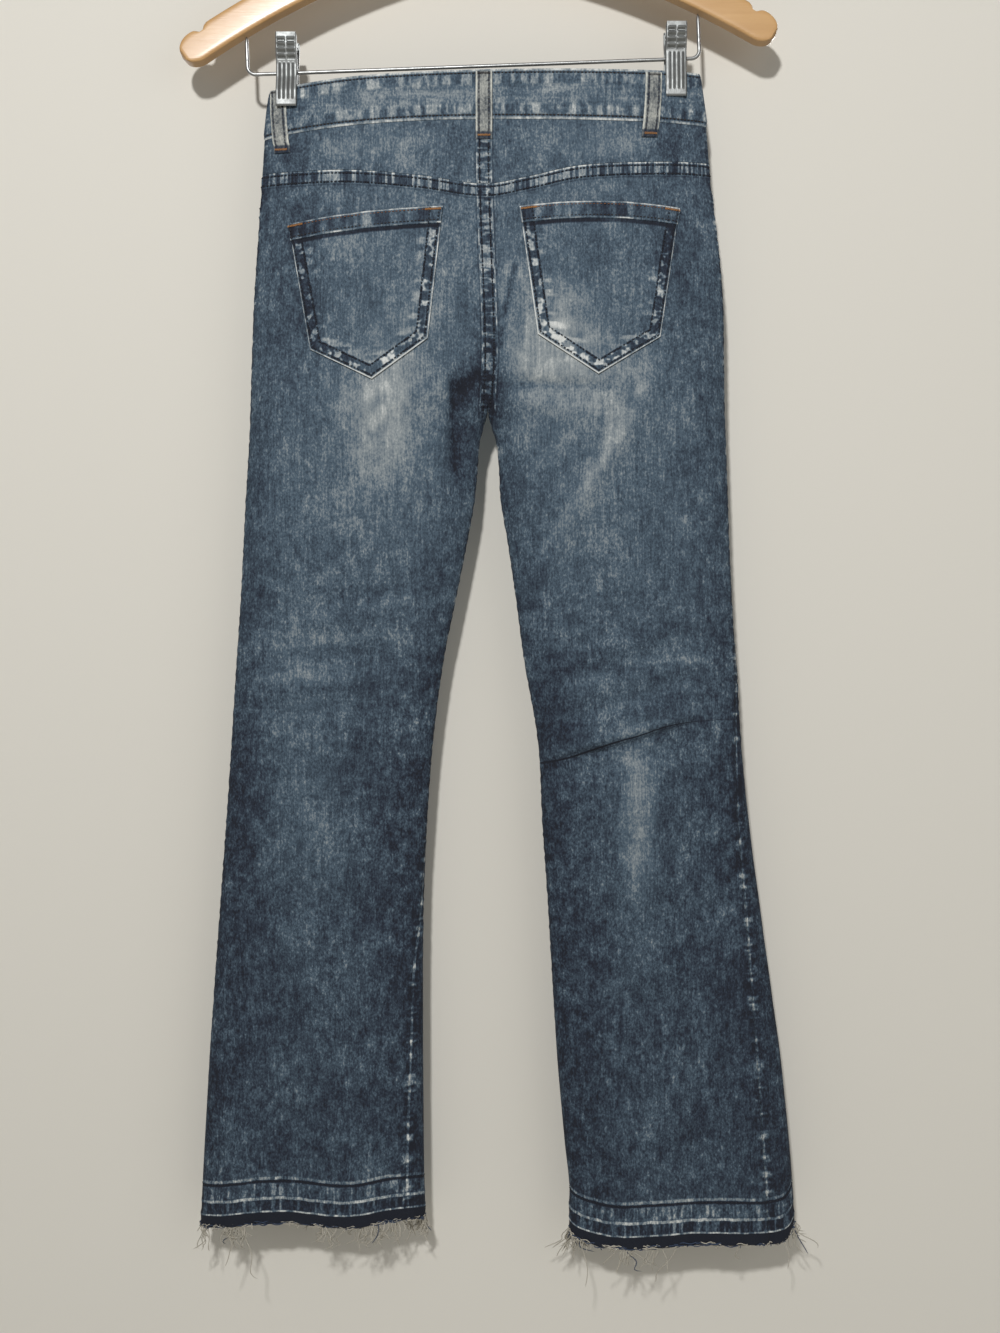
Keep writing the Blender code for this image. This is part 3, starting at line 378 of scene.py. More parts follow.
@dataclass(frozen=True)
class Garment:
    """The main form of the hanging cloth, as the part has it, and the places of everything on it."""

    centre_x: float = 13.0
    waist_z: float = -200.0
    roundness: float = 2.2
    closing: tuple[float, float] = (196.0, 270.0)
    gap: float = 0.3

    def at(self, x: Array, y: Array, drop: Array) -> Array:
        """Points in metres from millimetres across, in depth and below the waist."""
        x, y, drop = np.broadcast_arrays(self.centre_x + x, y, self.waist_z - drop)
        return np.stack((x, y, drop), axis=-1) * MM

    def sides(self, side: Side | Array) -> Array:
        """A side as -1 or 1, or an array of them unchanged."""
        return np.asarray(side.value if isinstance(side, Side) else side)

    def oval(self, side: Side | Array, drop: Array) -> tuple[Array, Array, Array]:
        """Middle, half width and inner cut of a half garment's oval.

        Args:
            side: The half, or an array of halves.
            drop: Drops below the waist.

        Returns:
            The three values.
        """
        sign = self.sides(side)
        outer, inner = (
            np.where(sign < 0, OUTLINE.read(f"left_{edge}", drop), OUTLINE.read(f"right_{edge}", drop))
            for edge in ("out", "in")
        )
        cut = smooth((np.asarray(drop) - self.closing[0]) / (self.closing[1] - self.closing[0]))
        half = np.abs(outer - inner) / (1 + cut)
        return outer - sign * half, half, cut

    def pushed(self, face: Face, x: Array, drop: Array) -> Array:
        """How far folds and creases stand out of one face.

        Args:
            face: The face.
            x: Places across.
            drop: Drops below the waist.

        Returns:
            Millimetres outwards.
        """
        total = np.zeros(np.broadcast(x, drop).shape)
        for crease in FOLDS + CREASES:
            if crease.face is face:
                total = total + crease.at(x, drop)
        return total

    def cloth(self, side: Side | Array, turn: Array, drop: Array, out: Array | float = 0.0) -> Array:
        """Points of the cloth's outer face, moved out.

        Args:
            side: The half, or an array of halves.
            turn: Turns round the half, in radians.
            drop: Drops below the waist.
            out: How far outwards, in millimetres.

        Returns:
            Points in metres.
        """
        side = self.sides(side)
        middle, half, _ = self.oval(side, drop)
        cosine, back = np.cos(turn), np.sin(turn) >= 0
        depth = np.where(back, OUTLINE.read("back", drop), OUTLINE.read("front", drop))
        base_x = middle - side * half * cosine
        pushed = np.where(back, self.pushed(BACK, base_x, drop), self.pushed(FRONT, base_x, drop))
        rise = np.maximum(1 - np.abs(cosine) ** self.roundness, 0.0) ** (1 / self.roundness)
        y = (depth + out) * rise + pushed * (1 - np.abs(cosine) ** 4)
        return self.at(middle - side * (half + out) * cosine, np.where(back, -y, y), drop)

    def place(self, side: Side | Array, turn: Array, drop: Array) -> Array:
        """How far from the centre line places of the cloth are.

        Args:
            side: The half, or an array of halves.
            turn: Turns round the half, in radians.
            drop: Drops below the waist.

        Returns:
            Millimetres across.
        """
        middle, half, _ = self.oval(side, drop)
        return middle - self.sides(side) * half * np.cos(turn)

    def on_face(self, face: Face, x: Array, drop: Array, out: Array | float = 0.0) -> Array:
        """Points of the back or the front at x, moved out.

        Args:
            face: The face.
            x: Places across.
            drop: Drops below the waist.
            out: How far outwards.

        Returns:
            Points in metres.
        """
        side = np.where(np.asarray(x) < OUTLINE.read("left_in", drop), -1, 1)
        middle, half, _ = self.oval(side, drop)
        turn = np.arccos(np.clip(side * (middle - x) / half, -1.0, 1.0))
        return self.cloth(side, turn if face is BACK else 2 * math.pi - turn, drop, out)

    def level(self, side: Side | Array, turn: Array, column: str) -> Array:
        """Drop of the waistband's top or bottom edge, or of the yoke seam."""
        across = -self.sides(side) * np.cos(turn)
        dip = np.where(np.sin(turn) < -0.0001, LEVELS.read("front_dip", across), 0.0)
        return LEVELS.read(column, across) + dip

    def hem(self, side: Side, turn: Array) -> Array:
        """Drop of the raw edge at a turn."""
        return HEM.read(side.word, np.degrees(turn) % 360)

    def turns(self, side: Side, face: Face, drop: Array) -> tuple[Array, Array]:
        """First and last turn of a face's panel, between its seams.

        Args:
            side: The half.
            face: The face.
            drop: Drops below the waist.

        Returns:
            The two turns at each drop.
        """
        in_twist = np.radians(TWIST.read(f"{side.word}_in", drop))
        outer = math.pi - np.radians(TWIST.read(f"{side.word}_out", drop))
        opening = np.arccos(np.minimum(self.oval(side, drop)[2], 1.0))
        if face is BACK:
            return opening + in_twist, outer
        return outer, 2 * math.pi - opening + in_twist

    def panel_top(self, side: Side, face: Face, turn: Array) -> Array:
        """Drop of a panel's top edge.

        Args:
            side: The half.
            face: The face.
            turn: Turns round the half.

        Returns:
            The drops.
        """
        if face is BACK:
            return self.level(side, turn, "yoke") + self.gap
        scoop = SCOOP.read("depth", np.abs(np.cos(turn)))
        return self.level(side, turn, "band_bottom") + self.gap + scoop


GARMENT = Garment()

# How much darker the sides and the lower legs are, partly the wash and partly painted shade, and the distance
# from an edge that a piece doesn't have
DARKER_SIDES, DARKER_LEGS = 0.09, 0.19
FAR = 99.0


def tone(face: Face, x: Array, drop: Array) -> Array:
    """The tone that doesn't depend on the piece: faded places and whiskers, painted shade and highlight,
    darker sides and lower legs.

    Args:
        face: The face.
        x: Places across.
        drop: Drops below the waist.

    Returns:
        The change in tone.
    """
    total = np.zeros(np.broadcast(x, drop).shape)
    for mark in FADED_AND_SHADED_SPOTS + WHISKERS_AND_CREASE_SHADING:
        if mark.face is face:
            total = total + mark.at(x, drop)
    side = np.where(np.asarray(x) < OUTLINE.read("left_in", drop), -1, 1)
    middle, half, _ = GARMENT.oval(side, drop)
    edge = np.abs(x - middle) / half
    outer = side * (x - middle) > 0
    below = smooth((drop - 262) / 60)
    # Darker towards each half's sides and down the lower legs: partly the wash, partly painted shade where
    # the cloth turns from the light and where the light falls off lower down
    total = total - DARKER_SIDES * smooth((edge - 0.5) / 0.5) * np.where(outer, 1.0, below)
    total = total - DARKER_LEGS * smooth((drop - 320) / 260)
    return np.clip(total, -0.9, 0.75)


def lengths(points: Array) -> Array:
    """Running length in millimetres along the second last axis of an array of points."""
    steps = np.linalg.norm(np.diff(points, axis=-2), axis=-1) / MM
    return np.concatenate((np.zeros(steps.shape[:-1] + (1,)), np.cumsum(steps, axis=-1)), axis=-1)


def down_lengths(points: Array) -> Array:
    """Running length in millimetres down each column of a grid of points."""
    return np.swapaxes(lengths(np.swapaxes(points, 0, 1)), 0, 1)


def unselect() -> None:
    """Leaves nothing selected."""
    bpy.ops.object.select_all(action="DESELECT")


def alone(piece: Object) -> None:
    """Leaves only one piece selected and active."""
    unselect()
    piece.select_set(True)
    bpy.context.view_layer.objects.active = piece


def apply(piece: Object, name: str, kind: str, **settings: Any) -> None:
    """Adds a modifier and applies it.

    Args:
        piece: The piece to change.
        name: The modifier's name.
        kind: The modifier's type.
        settings: Its settings.
    """
    alone(piece)
    added = piece.modifiers.new(name, kind)
    for key, setting in settings.items():
        setattr(added, key, setting)
    bpy.ops.object.modifier_apply(modifier=name)


def rounded(piece: Object, degrees: float = 40.0) -> None:
    """Shades a piece smooth, apart from edges sharper than some degrees."""
    alone(piece)
    bpy.ops.object.shade_smooth_by_angle(angle=math.radians(degrees))
    unselect()


def add_mark(piece: Object, name: str, values: Array) -> None:
    """Stores one number for each vertex, for the materials to read."""
    attribute = piece.data.attributes.new(name, "FLOAT", "POINT")
    attribute.data.foreach_set("value", np.ascontiguousarray(values, dtype=np.float32).ravel())


def gridded(name: str, points: Array) -> tuple[Object, Array, Array]:
    """Adds a flat grid and lays it on points, rows by columns.

    Args:
        name: The piece's name.
        points: Points in metres.

    Returns:
        The piece, and each vertex's row and column.
    """
    rows, columns = points.shape[:2]
    unselect()
    bpy.ops.mesh.primitive_grid_add(x_subdivisions=columns - 1, y_subdivisions=rows - 1, size=2.0)
    piece = bpy.context.active_object
    piece.name = piece.data.name = name
    flat = np.empty(len(piece.data.vertices) * 3, dtype=np.float32)
    piece.data.vertices.foreach_get("co", flat)
    flat = flat.reshape(-1, 3)
    column = np.rint((flat[:, 0] + 1) / 2 * (columns - 1)).astype(int)
    row = np.rint((1 - flat[:, 1]) / 2 * (rows - 1)).astype(int)
    piece.data.vertices.foreach_set("co", points[row, column].astype(np.float32).ravel())
    piece.data.update()
    return piece, row, column


def welded(piece: Object, degrees: float) -> None:
    """Closes a rolled-up grid: joins its meeting edges, fills its ends and turns its faces outwards.

    Args:
        piece: The grid.
        degrees: Edges sharper than this stay sharp.
    """
    alone(piece)
    bpy.ops.object.mode_set(mode="EDIT")
    bpy.ops.mesh.select_all(action="SELECT")
    bpy.ops.mesh.remove_doubles(threshold=0.00001)
    bpy.ops.mesh.select_all(action="DESELECT")
    bpy.ops.mesh.select_non_manifold()
    bpy.ops.mesh.fill_holes(sides=0)
    bpy.ops.mesh.select_all(action="SELECT")
    bpy.ops.mesh.normals_make_consistent(inside=False)
    bpy.ops.object.mode_set(mode="OBJECT")
    rounded(piece, degrees)


def shares(columns: int, rows: int, power: float = 1.0) -> tuple[Array, Array]:
    """Shares across and down a patch, rows by columns, with rows closer at the top for a higher power."""
    across, down = np.linspace(0.0, 1.0, columns + 1), np.linspace(0.0, 1.0, rows + 1) ** power
    return tuple(np.meshgrid(across, down))


@dataclass
class Cut:
    """A grid of cloth: how it lies at some offset, and what its materials read.

    Fields:
        points: The outer face's points, rows by columns.
        outside: The same points moved a little outwards, which tells the outside.
        marks: Numbers for the materials, rows by columns each.
        thick: The wall's thickness in millimetres.
    """

    points: Array
    outside: Array
    marks: dict[str, Array] = field(default_factory=dict)
    thick: float = 1.4

    def area(self) -> float:
        """The outer face's area in square metres."""
        p = self.points
        one = np.cross(p[1:, :-1] - p[:-1, :-1], p[:-1, 1:] - p[:-1, :-1])
        two = np.cross(p[1:, :-1] - p[1:, 1:], p[:-1, 1:] - p[1:, 1:])
        return float((np.linalg.norm(one, axis=-1) + np.linalg.norm(two, axis=-1)).sum() / 2)

    def sew(self, name: str) -> Object:
        """Makes the piece: a flat grid, laid on the form, given its wall.

        Args:
            name: The piece's name.

        Returns:
            The finished object.
        """
        piece, row, column = gridded(name, self.points)
        mesh = piece.data
        for key, values in self.marks.items():
            add_mark(piece, key, values[row, column])
        self._lay_flat(mesh, row, column)
        mesh.update()
        normals = np.empty(len(mesh.vertices) * 3, dtype=np.float32)
        mesh.vertex_normals.foreach_get("vector", normals)
        outwards = (self.outside - self.points)[row, column]
        if (normals.reshape(-1, 3) * outwards).sum() < 0:
            alone(piece)
            bpy.ops.object.mode_set(mode="EDIT")
            bpy.ops.mesh.select_all(action="SELECT")
            bpy.ops.mesh.flip_normals()
            bpy.ops.object.mode_set(mode="OBJECT")
        apply(piece, "wall", "SOLIDIFY", thickness=self.thick * MM, offset=-1.0)
        rounded(piece)
        return piece

    def _lay_flat(self, mesh: bpy.types.Mesh, row: Array, column: Array) -> None:
        """Sets the UV map to the cloth's own lengths, in metres.

        Args:
            mesh: The grid's mesh.
            row: Each vertex's row.
            column: Each vertex's column.
        """
        across = lengths(self.points).mean(axis=0) * MM
        down = down_lengths(self.points).mean(axis=1) * MM
        spots = np.stack((across[column], -down[row]), axis=-1)
        corners = np.empty(len(mesh.loops), dtype=np.int32)
        mesh.loops.foreach_get("vertex_index", corners)
        mesh.uv_layers.active.data.foreach_set("uv", spots[corners].astype(np.float32).ravel())


def sums(operation: str, swapped: bool = False) -> Callable[["Val", "Val | float"], "Val"]:
    """Makes an operator's method.

    Args:
        operation: The Math node's operation.
        swapped: Whether the other value comes first, as in a reflected form.

    Returns:
        The method.
    """
    def method(self: "Val", other: "Val | float") -> "Val":
        """The operation on two values."""
        return self.sum(operation, other, self) if swapped else self.sum(operation, self, other)
    return method


class Val:
    """A shader socket that Python sums work on."""

    __add__, __radd__ = sums("ADD"), sums("ADD", True)
    __sub__, __rsub__ = sums("SUBTRACT"), sums("SUBTRACT", True)
    __mul__, __rmul__ = sums("MULTIPLY"), sums("MULTIPLY", True)
    most = sums("MAXIMUM")

    def __init__(self, paint: "Paint", socket: bpy.types.NodeSocket) -> None:
        """Wraps a socket of one material."""
        self.paint = paint
        self.socket = socket

    def sum(self, operation: str, *values: "Val | float") -> "Val":
        """Adds a Math node."""
        return self.paint.node("ShaderNodeMath", {"operation": operation}, dict(enumerate(values)))

    def size(self) -> "Val":
        """The value without its sign."""
        return self.sum("ABSOLUTE", self)

    def step(self, low: float, high: float) -> "Val":
        """A soft step from 0 at low to 1 at high, or from 1 to 0 where low is the higher.

        Args:
            low: Where the step starts.
            high: Where it ends.

        Returns:
            The stepped value.
        """
        settings = {"interpolation_type": "SMOOTHSTEP", "clamp": True}
        first, last = (0.0, 1.0) if low < high else (1.0, 0.0)
        ends = {"From Min": min(low, high), "From Max": max(low, high), "To Min": first, "To Max": last}
        return self.paint.node("ShaderNodeMapRange", settings, {"Value": self, **ends})

    def band(self, low: float, high: float, soft: float) -> "Val":
        """1 between low and high, with soft ends."""
        return self.step(low - soft, low + soft) * self.step(high + soft, high - soft)


class Paint:
    """The nodes of one material."""

    def __init__(self, name: str) -> None:
        """Starts a material with one shader."""
        self.material = bpy.data.materials.new(name)
        self.material.use_nodes = True
        self.tree = self.material.node_tree
        self.shader = self.tree.nodes["Principled BSDF"]

    def node(
        self, kind: str, settings: dict[str, Any] | None = None, sockets: dict[str | int, Any] | None = None,
        output: str | int = 0,
    ) -> Val:
        """Adds a node of any type.

        Args:
            kind: The node's type.
            settings: Its settings, and stops for a ramp.
            sockets: Values or links of its sockets.
            output: The output to give back.

        Returns:
            The output, ready for sums.
        """
        made = self.tree.nodes.new(kind)
        for key, setting in (settings or {}).items():
            if key == "stops":
                self._stops(made.color_ramp, setting)
            else:
                setattr(made, key, setting)
        for key, given in (sockets or {}).items():
            self.put(made.inputs[key], given)
        return Val(self, made.outputs[output])

    def put(self, socket: bpy.types.NodeSocket, given: Any) -> None:
        """Links a socket to a value, or sets it to a number or colour.

        Args:
            socket: The socket.
            given: The value, number or colour.
        """
        if isinstance(given, Val):
            self.tree.links.new(given.socket, socket)
        else:
            socket.default_value = given

    def _stops(self, ramp: bpy.types.ColorRamp, stops: Sequence[tuple[float, Triple]]) -> None:
        """Sets a ramp's places and colours."""
        while len(ramp.elements) < len(stops):
            ramp.elements.new(1.0)
        for element, (place, colour) in zip(ramp.elements, stops):
            element.position, element.color = place, (*colour, 1.0)

    def coords(self, scale: Triple, turn: float = 0.0) -> Val:
        """Object coordinates in metres, stretched and turned about Y."""
        place = self.node("ShaderNodeTexCoord", output="Object")
        sockets = {"Vector": place, "Scale": scale, "Rotation": (0.0, turn, 0.0)}
        return self.node("ShaderNodeMapping", {"vector_type": "POINT"}, sockets)

    def noise(self, scale: Triple, detail: float = 2.0, turn: float = 0.0) -> Val:
        """Cloudy noise from about -1 to 1, with its scale along each axis."""
        sockets = {"Vector": self.coords(scale, turn), "Scale": 1.0, "Detail": detail, "Roughness": 0.6}
        return (self.node("ShaderNodeTexNoise", {}, sockets, "Fac") - 0.5) * 2.6

    def mark(self, name: str) -> Val:
        """A number stored in the mesh."""
        return self.node("ShaderNodeAttribute", {"attribute_name": name}, output="Fac")

    def ramp(self, value: Val, stops: Sequence[tuple[float, Triple]]) -> Val:
        """A colour by a value."""
        return self.node("ShaderNodeValToRGB", {"stops": stops}, {"Fac": value}, "Color")

    def blend(self, share: Val | float, first: Any, second: Any) -> Val:
        """A mix of two colours."""
        sockets = {0: share, 6: first, 7: second}
        return self.node("ShaderNodeMix", {"data_type": "RGBA"}, sockets, 2)

    def bump(self, height: Val, distance: float, strength: float = 1.0) -> Val:
        """A normal from a height between about -1 and 1, and its distance in metres."""
        sockets = {"Height": height, "Distance": distance, "Strength": strength}
        return self.node("ShaderNodeBump", {}, sockets, "Normal")

    def finish(self, **sockets: Any) -> Material:
        """Sets the shader's sockets, with _ for a space.

        Args:
            sockets: Values or links.

        Returns:
            The material.
        """
        for key, given in sockets.items():
            self.put(self.shader.inputs[key.replace("_", " ")], given)
        return self.material


INK, NIGHT, BLUE = (0.0055, 0.0080, 0.0160), (0.012, 0.020, 0.037), (0.032, 0.052, 0.076)
MIDDLE, PALE, WORN = (0.067, 0.104, 0.142), (0.262, 0.291, 0.302), (0.60, 0.615, 0.595)
WASH = ((0.0, INK), (0.18, NIGHT), (0.36, BLUE), (0.52, MIDDLE), (0.76, PALE), (1.0, WORN))
RUBBED = ((0.0, NIGHT), (0.36, (0.068, 0.08, 0.09)), (0.62, (0.23, 0.24, 0.23)), (1.0, (0.55, 0.55, 0.49)))


@dataclass(frozen=True)
class Denim:
    """Acid-washed stretch denim: cloudy, streaked along the warp, and rubbed light."""

    name: str
    base: float = 0.485
    cloudy: float = 0.120
    streaky: float = 0.12
    grainy: float = 0.23
    wash: tuple = WASH

    def worn(self, paint: Paint) -> Val | float:
        """What a piece's own seams and edges add to the tone: their wear, and painted shade in their grooves
        and beside their folds.
        """
        return 0.0

    def relief(self, paint: Paint) -> Val | float:
        """What a piece's own seams and edges add to the surface, in millimetres."""
        return 0.0

    def dress(self) -> Material:
        """Builds the material.

        Returns:
            The material.
        """
        paint = Paint(self.name)
        clouds = paint.noise((30, 30, 24), 3) + paint.noise((110, 110, 80), 3) * 0.95
        streaks = paint.noise((820, 820, 42), 2) + paint.noise((330, 330, 22), 2) * 0.55
        # The tone mark holds the wash's faded places and whiskers together with painted shade and highlight
        # in the crotch, along creases, at the sides and down the legs
        rubbed = paint.mark("tone")
        fine, coarse = paint.noise((760, 760, 480), 3), paint.noise((210, 210, 130), 3)
        grain = fine * (1.25 - rubbed * 2.4) + coarse * (0.52 - rubbed * 3.2)
        shade = clouds * self.cloudy + streaks * self.streaky + grain * self.grainy
        total = shade + self.base + rubbed + rubbed.size() * clouds * 0.33 + self.worn(paint)
        weave = paint.noise((1900, 1900, 900), 1, math.radians(27)) * 0.10 + streaks * 0.03
        height = weave + grain * 0.05 + clouds * 0.03 + self.relief(paint)
        return paint.finish(
            Base_Color=paint.ramp(total, self.wash),
            Roughness=(0.93 - total * 0.10).most(0.7),
            Normal=paint.bump(height, MM, 1.0),
        )


def bars(paint: Paint, pitch: Triple, low: float = -0.1, high: float = 0.5) -> Val:
    """Uneven light places from 0 to 1 along a seam, with their pitch in millimetres along each axis."""
    scale = tuple(1000 / p for p in pitch)
    return paint.noise(scale, 1.0).step(low, high)


def needled(distance: Val, at: tuple[float, float], holes: Val, half: float = 0.75) -> Val:
    """Painted shade in the groove of two stitch rows, deeper at the needle's holes.

    Args:
        distance: Distance in millimetres from the edge that the rows follow.
        at: The rows' two distances.
        holes: Uneven places along the rows, from 0 to 1.
        half: Half the groove's width.

    Returns:
        The change in tone.
    """
    rows = [distance.band(row - half, row + half, 0.3) for row in at]
    return (rows[0] + rows[1]) * (holes * -0.40 - 0.04)


@dataclass(frozen=True)
class PanelDenim(Denim):
    """Denim of a front or back panel, with its seams and its hem, whose fold was let down."""

    def worn(self, paint: Paint) -> Val:
        """Puckered seams, a worn lapped edge at the top and the hem's old fold, with painted shade in the
        stitch grooves, beside the centre seam's band, below the lap and along the right knee's tuck.

        Args:
            paint: The material's nodes.

        Returns:
            The change in tone.
        """
        inner, outer = paint.mark("in_mm"), paint.mark("out_mm")
        top, centre = paint.mark("top_mm"), paint.mark("centre")
        knots = bars(paint, (30, 30, 5.2))
        leg = 1.0 - centre
        puckers = knots * 0.44 - 0.15
        rubs = bars(paint, (9, 9, 6), -0.4, 0.4)
        side = outer.step(6.0, 2.5) * puckers + outer.step(1.3, 0.7) * (0.10 + rubs * 0.30)
        inseam = (inner.step(6.0, 2.5) * puckers + inner.step(1.3, 0.7) * (0.16 + rubs * 0.30)) * leg
        band = inner.step(5.2, 4.6) * (bars(paint, (11, 14, 3.6), -0.3, 0.4) * 0.50 - 0.24)
        # The band's rubbed edge, and painted shade just beyond it
        edge = inner.band(4.9, 5.7, 0.35) * rubs * 0.36 - inner.band(6.1, 7.0, 0.4) * 0.16
        lap = top.step(10.2, 9.4) * (bars(paint, (2.7, 30, 60), -0.3, 0.4) * 0.50 - 0.25)
        # The lap's rubbed lip, and painted shade just below the lap
        lip = top.step(1.3, 0.6) * (0.14 + rubs * 0.24) - top.band(10.6, 11.6, 0.5) * 0.12
        rows = needled(inner, (3.3, 3.3), bars(paint, (9, 9, 2.6), -0.2, 0.3), 0.6)
        seams = side + inseam + (band + edge + rows) * centre
        lap = lap + needled(top, (2.4, 9.0), bars(paint, (2.4, 30, 60), -0.2, 0.3))
        low = paint.mark("low_mm")
        knee = low.band(330, 480, 50) * paint.noise((15, 15, 85), 3) * 0.17
        # Painted shadow of the cloth that hangs over the tuck, and painted shade below it
        tuck = paint.mark("tuck_mm")
        line = tuck.band(-0.7, 0.7, 0.35) * -0.50 - tuck.band(1.2, 4.0, 1.4) * 0.05
        return seams * top.step(1.5, 3.0) + lap + lip + knee + line + self._hem(paint)

    def _hem(self, paint: Paint) -> Val:
        """The tone's change up from the raw edge: dark, white, creased, a white fold, light, a dark line.

        Args:
            paint: The material's nodes.

        Returns:
            The change in tone.
        """
        up = paint.mark("low_mm") + paint.noise((90, 90, 90), 1) * 0.5
        breaks = bars(paint, (5.5, 5.5, 60), -0.35, 0.25)
        blotches = bars(paint, (3.4, 3.4, 26), -0.25, 0.45)
        dark = up.step(9.2, 8.7) * -0.75
        first = up.band(9.0, 10.3, 0.3) * (0.20 + breaks * 0.34)
        creased = up.band(10.6, 18.0, 0.5) * (blotches * 0.40 - 0.24)
        fold = up.band(18.2, 20.4, 0.5) * (0.34 + breaks * 0.12)
        light = up.band(21.0, 30.2, 0.8) * (blotches * 0.30 - 0.02)
        line = up.band(30.6, 32.4, 0.4) * -0.42
        halo = up.band(32.8, 35.0, 0.6) * (0.20 + breaks * 0.14)
        return dark + first + creased + fold + light + line + halo

    def relief(self, paint: Paint) -> Val:
        """Puckers beside the seams and across the hem.

        Args:
            paint: The material's nodes.

        Returns:
            The height.
        """
        inner, outer = paint.mark("in_mm"), paint.mark("out_mm")
        top, low = paint.mark("top_mm"), paint.mark("low_mm")
        knots, across = bars(paint, (30, 30, 5.2)), bars(paint, (2.9, 30, 60))
        hem = low.band(9.0, 30.0, 2.0) * bars(paint, (7, 7, 9))
        seams = (inner.step(8.0, 3.0) + outer.step(8.0, 3.0)) * knots
        return seams * 0.5 + top.step(10.2, 9.4) * across * 0.45 + hem * 0.45 - outer.step(0.8, 0.1) * 0.5


@dataclass(frozen=True)
class PatchDenim(Denim):
    """Denim of a patch pocket or a fly: a white rubbed edge and a puckered band between two seams."""

    def worn(self, paint: Paint) -> Val:
        """The rim's white line and blotches, and the mouth's folded hem, with painted shade in the stitch
        grooves and a painted shadow under the hem's lower edge.

        Args:
            paint: The material's nodes.

        Returns:
            The change in tone.
        """
        rim, mouth = paint.mark("rim_mm"), paint.mark("mouth_mm")
        knots = bars(paint, (5.4, 30, 4.6), -0.12, 0.34)
        line = rim.step(0.95, 0.6) * (0.24 + bars(paint, (12, 12, 12), -0.4, 0.4) * 0.22)
        band = rim.band(1.6, 8.8, 0.6) * (knots * 0.52 - 0.24)
        rows = needled(rim, (2.1, 8.4), bars(paint, (2.6, 30, 2.6), -0.25, 0.25), 0.85)
        beyond = rim.band(9.2, 15.0, 2.5) * (bars(paint, (30, 30, 6.0)) * 0.26 - 0.06)
        below = mouth.step(12.4, 14.0)
        hem = mouth.step(11.6, 11.0) * (bars(paint, (7, 30, 60), -0.4, 0.5) * 0.32 - 0.28)
        lip = mouth.step(1.4, 0.8) * 0.42 + mouth.band(11.7, 12.7, 0.3) * (bars(paint, (16, 30, 60)) * 0.5)
        shadow = mouth.band(12.9, 15.6, 0.9) * (bars(paint, (40, 60, 60), -0.8, 0.2) * -0.24 - 0.28)
        return (band + beyond + rows) * below + line + hem + lip + shadow

    def relief(self, paint: Paint) -> Val:
        """Puckers along the rim.

        Args:
            paint: The material's nodes.

        Returns:
            The height.
        """
        rim, mouth = paint.mark("rim_mm"), paint.mark("mouth_mm")
        knots = bars(paint, (6.0, 30, 5.4), 0.0, 0.55)
        ridges = rim.band(1.5, 9.5, 0.8) * knots * 0.55 * mouth.step(12.0, 14.0)
        return ridges - mouth.band(12.9, 14.0, 0.4) * 0.6


@dataclass(frozen=True)
class BandDenim(Denim):
    """Denim of the waistband: white folded edges, blocky puckers beside its seams, creases along it."""

    base: float = 0.53

    def worn(self, paint: Paint) -> Val:
        """Rubbed folds, painted shade in the stitch groove beside them, and blocky light and dark places.

        Args:
            paint: The material's nodes.

        Returns:
            The change in tone.
        """
        edge = paint.mark("rim_mm")
        fold = edge.step(1.9, 1.2) * (0.14 + bars(paint, (9, 30, 40), -0.5, 0.4) * 0.24)
        # Painted shade in the stitch groove
        groove = edge.band(2.4, 3.4, 0.4) * -0.18
        blocks = edge.band(3.8, 11.5, 1.5) * (bars(paint, (6.0, 30, 26), -0.3, 0.3) * 0.30 - 0.13)
        lengthwise = paint.noise((24, 24, 230), 2) * 0.16 * edge.step(7.0, 11.0)
        return fold + groove + blocks + lengthwise

    def relief(self, paint: Paint) -> Val:
        """Blocks beside the seams.

        Args:
            paint: The material's nodes.

        Returns:
            The height.
        """
        edge = paint.mark("rim_mm")
        blocks = edge.band(3.8, 11.5, 1.5) * bars(paint, (6.5, 30, 26), -0.3, 0.3)
        return blocks * 0.4 - edge.band(2.6, 3.5, 0.4) * 0.4 + paint.noise((28, 28, 260), 2) * 0.12


@dataclass(frozen=True)
class LoopDenim(Denim):
    """Denim of the belt loops: pale, greyish, with rubbed edges."""

    base: float = 0.63
    streaky: float = 0.08
    wash: tuple = RUBBED

    def worn(self, paint: Paint) -> Val:
        """White edges, painted shade in the grooves along the two seams, and dark places before the tack.

        Args:
            paint: The material's nodes.

        Returns:
            The change in tone.
        """
        edge, end = paint.mark("rim_mm"), paint.mark("mouth_mm")
        line = edge.step(1.2, 0.8) * 0.30
        # Painted shade in the grooves along the seams
        groove = edge.band(1.7, 3.0, 0.35) * (bars(paint, (30, 30, 3.0)) * 0.3 - 0.42)
        flecks = paint.noise((230, 230, 300), 2).step(0.2, 0.8) * -0.34 + paint.noise((70, 70, 110), 2) * 0.10
        tack = end.step(6.5, 4.5) * -0.46
        return line + groove + flecks + tack


@dataclass(frozen=True)
class ThreadFinish:
    """Sewing thread, twisted and slightly shiny."""

    thread: Thread

    def dress(self) -> Material:
        """Builds the material."""
        paint = Paint(f"thread_{self.thread.word}")
        red, green, blue = self.thread.value
        worn = (red * 1.7 + 0.012, green * 1.7 + 0.012, blue * 1.7 + 0.012)
        rub = paint.noise((600, 600, 600), 2).step(0.1, 0.9)
        twist = paint.noise((2600, 2600, 2600), 1)
        colour = paint.blend(rub * 0.7, (red, green, blue, 1.0), (*worn, 1.0))
        normal = paint.bump(twist, 0.0002, 0.6)
        return paint.finish(Base_Color=colour, Roughness=0.62 + rub * 0.2, Normal=normal)


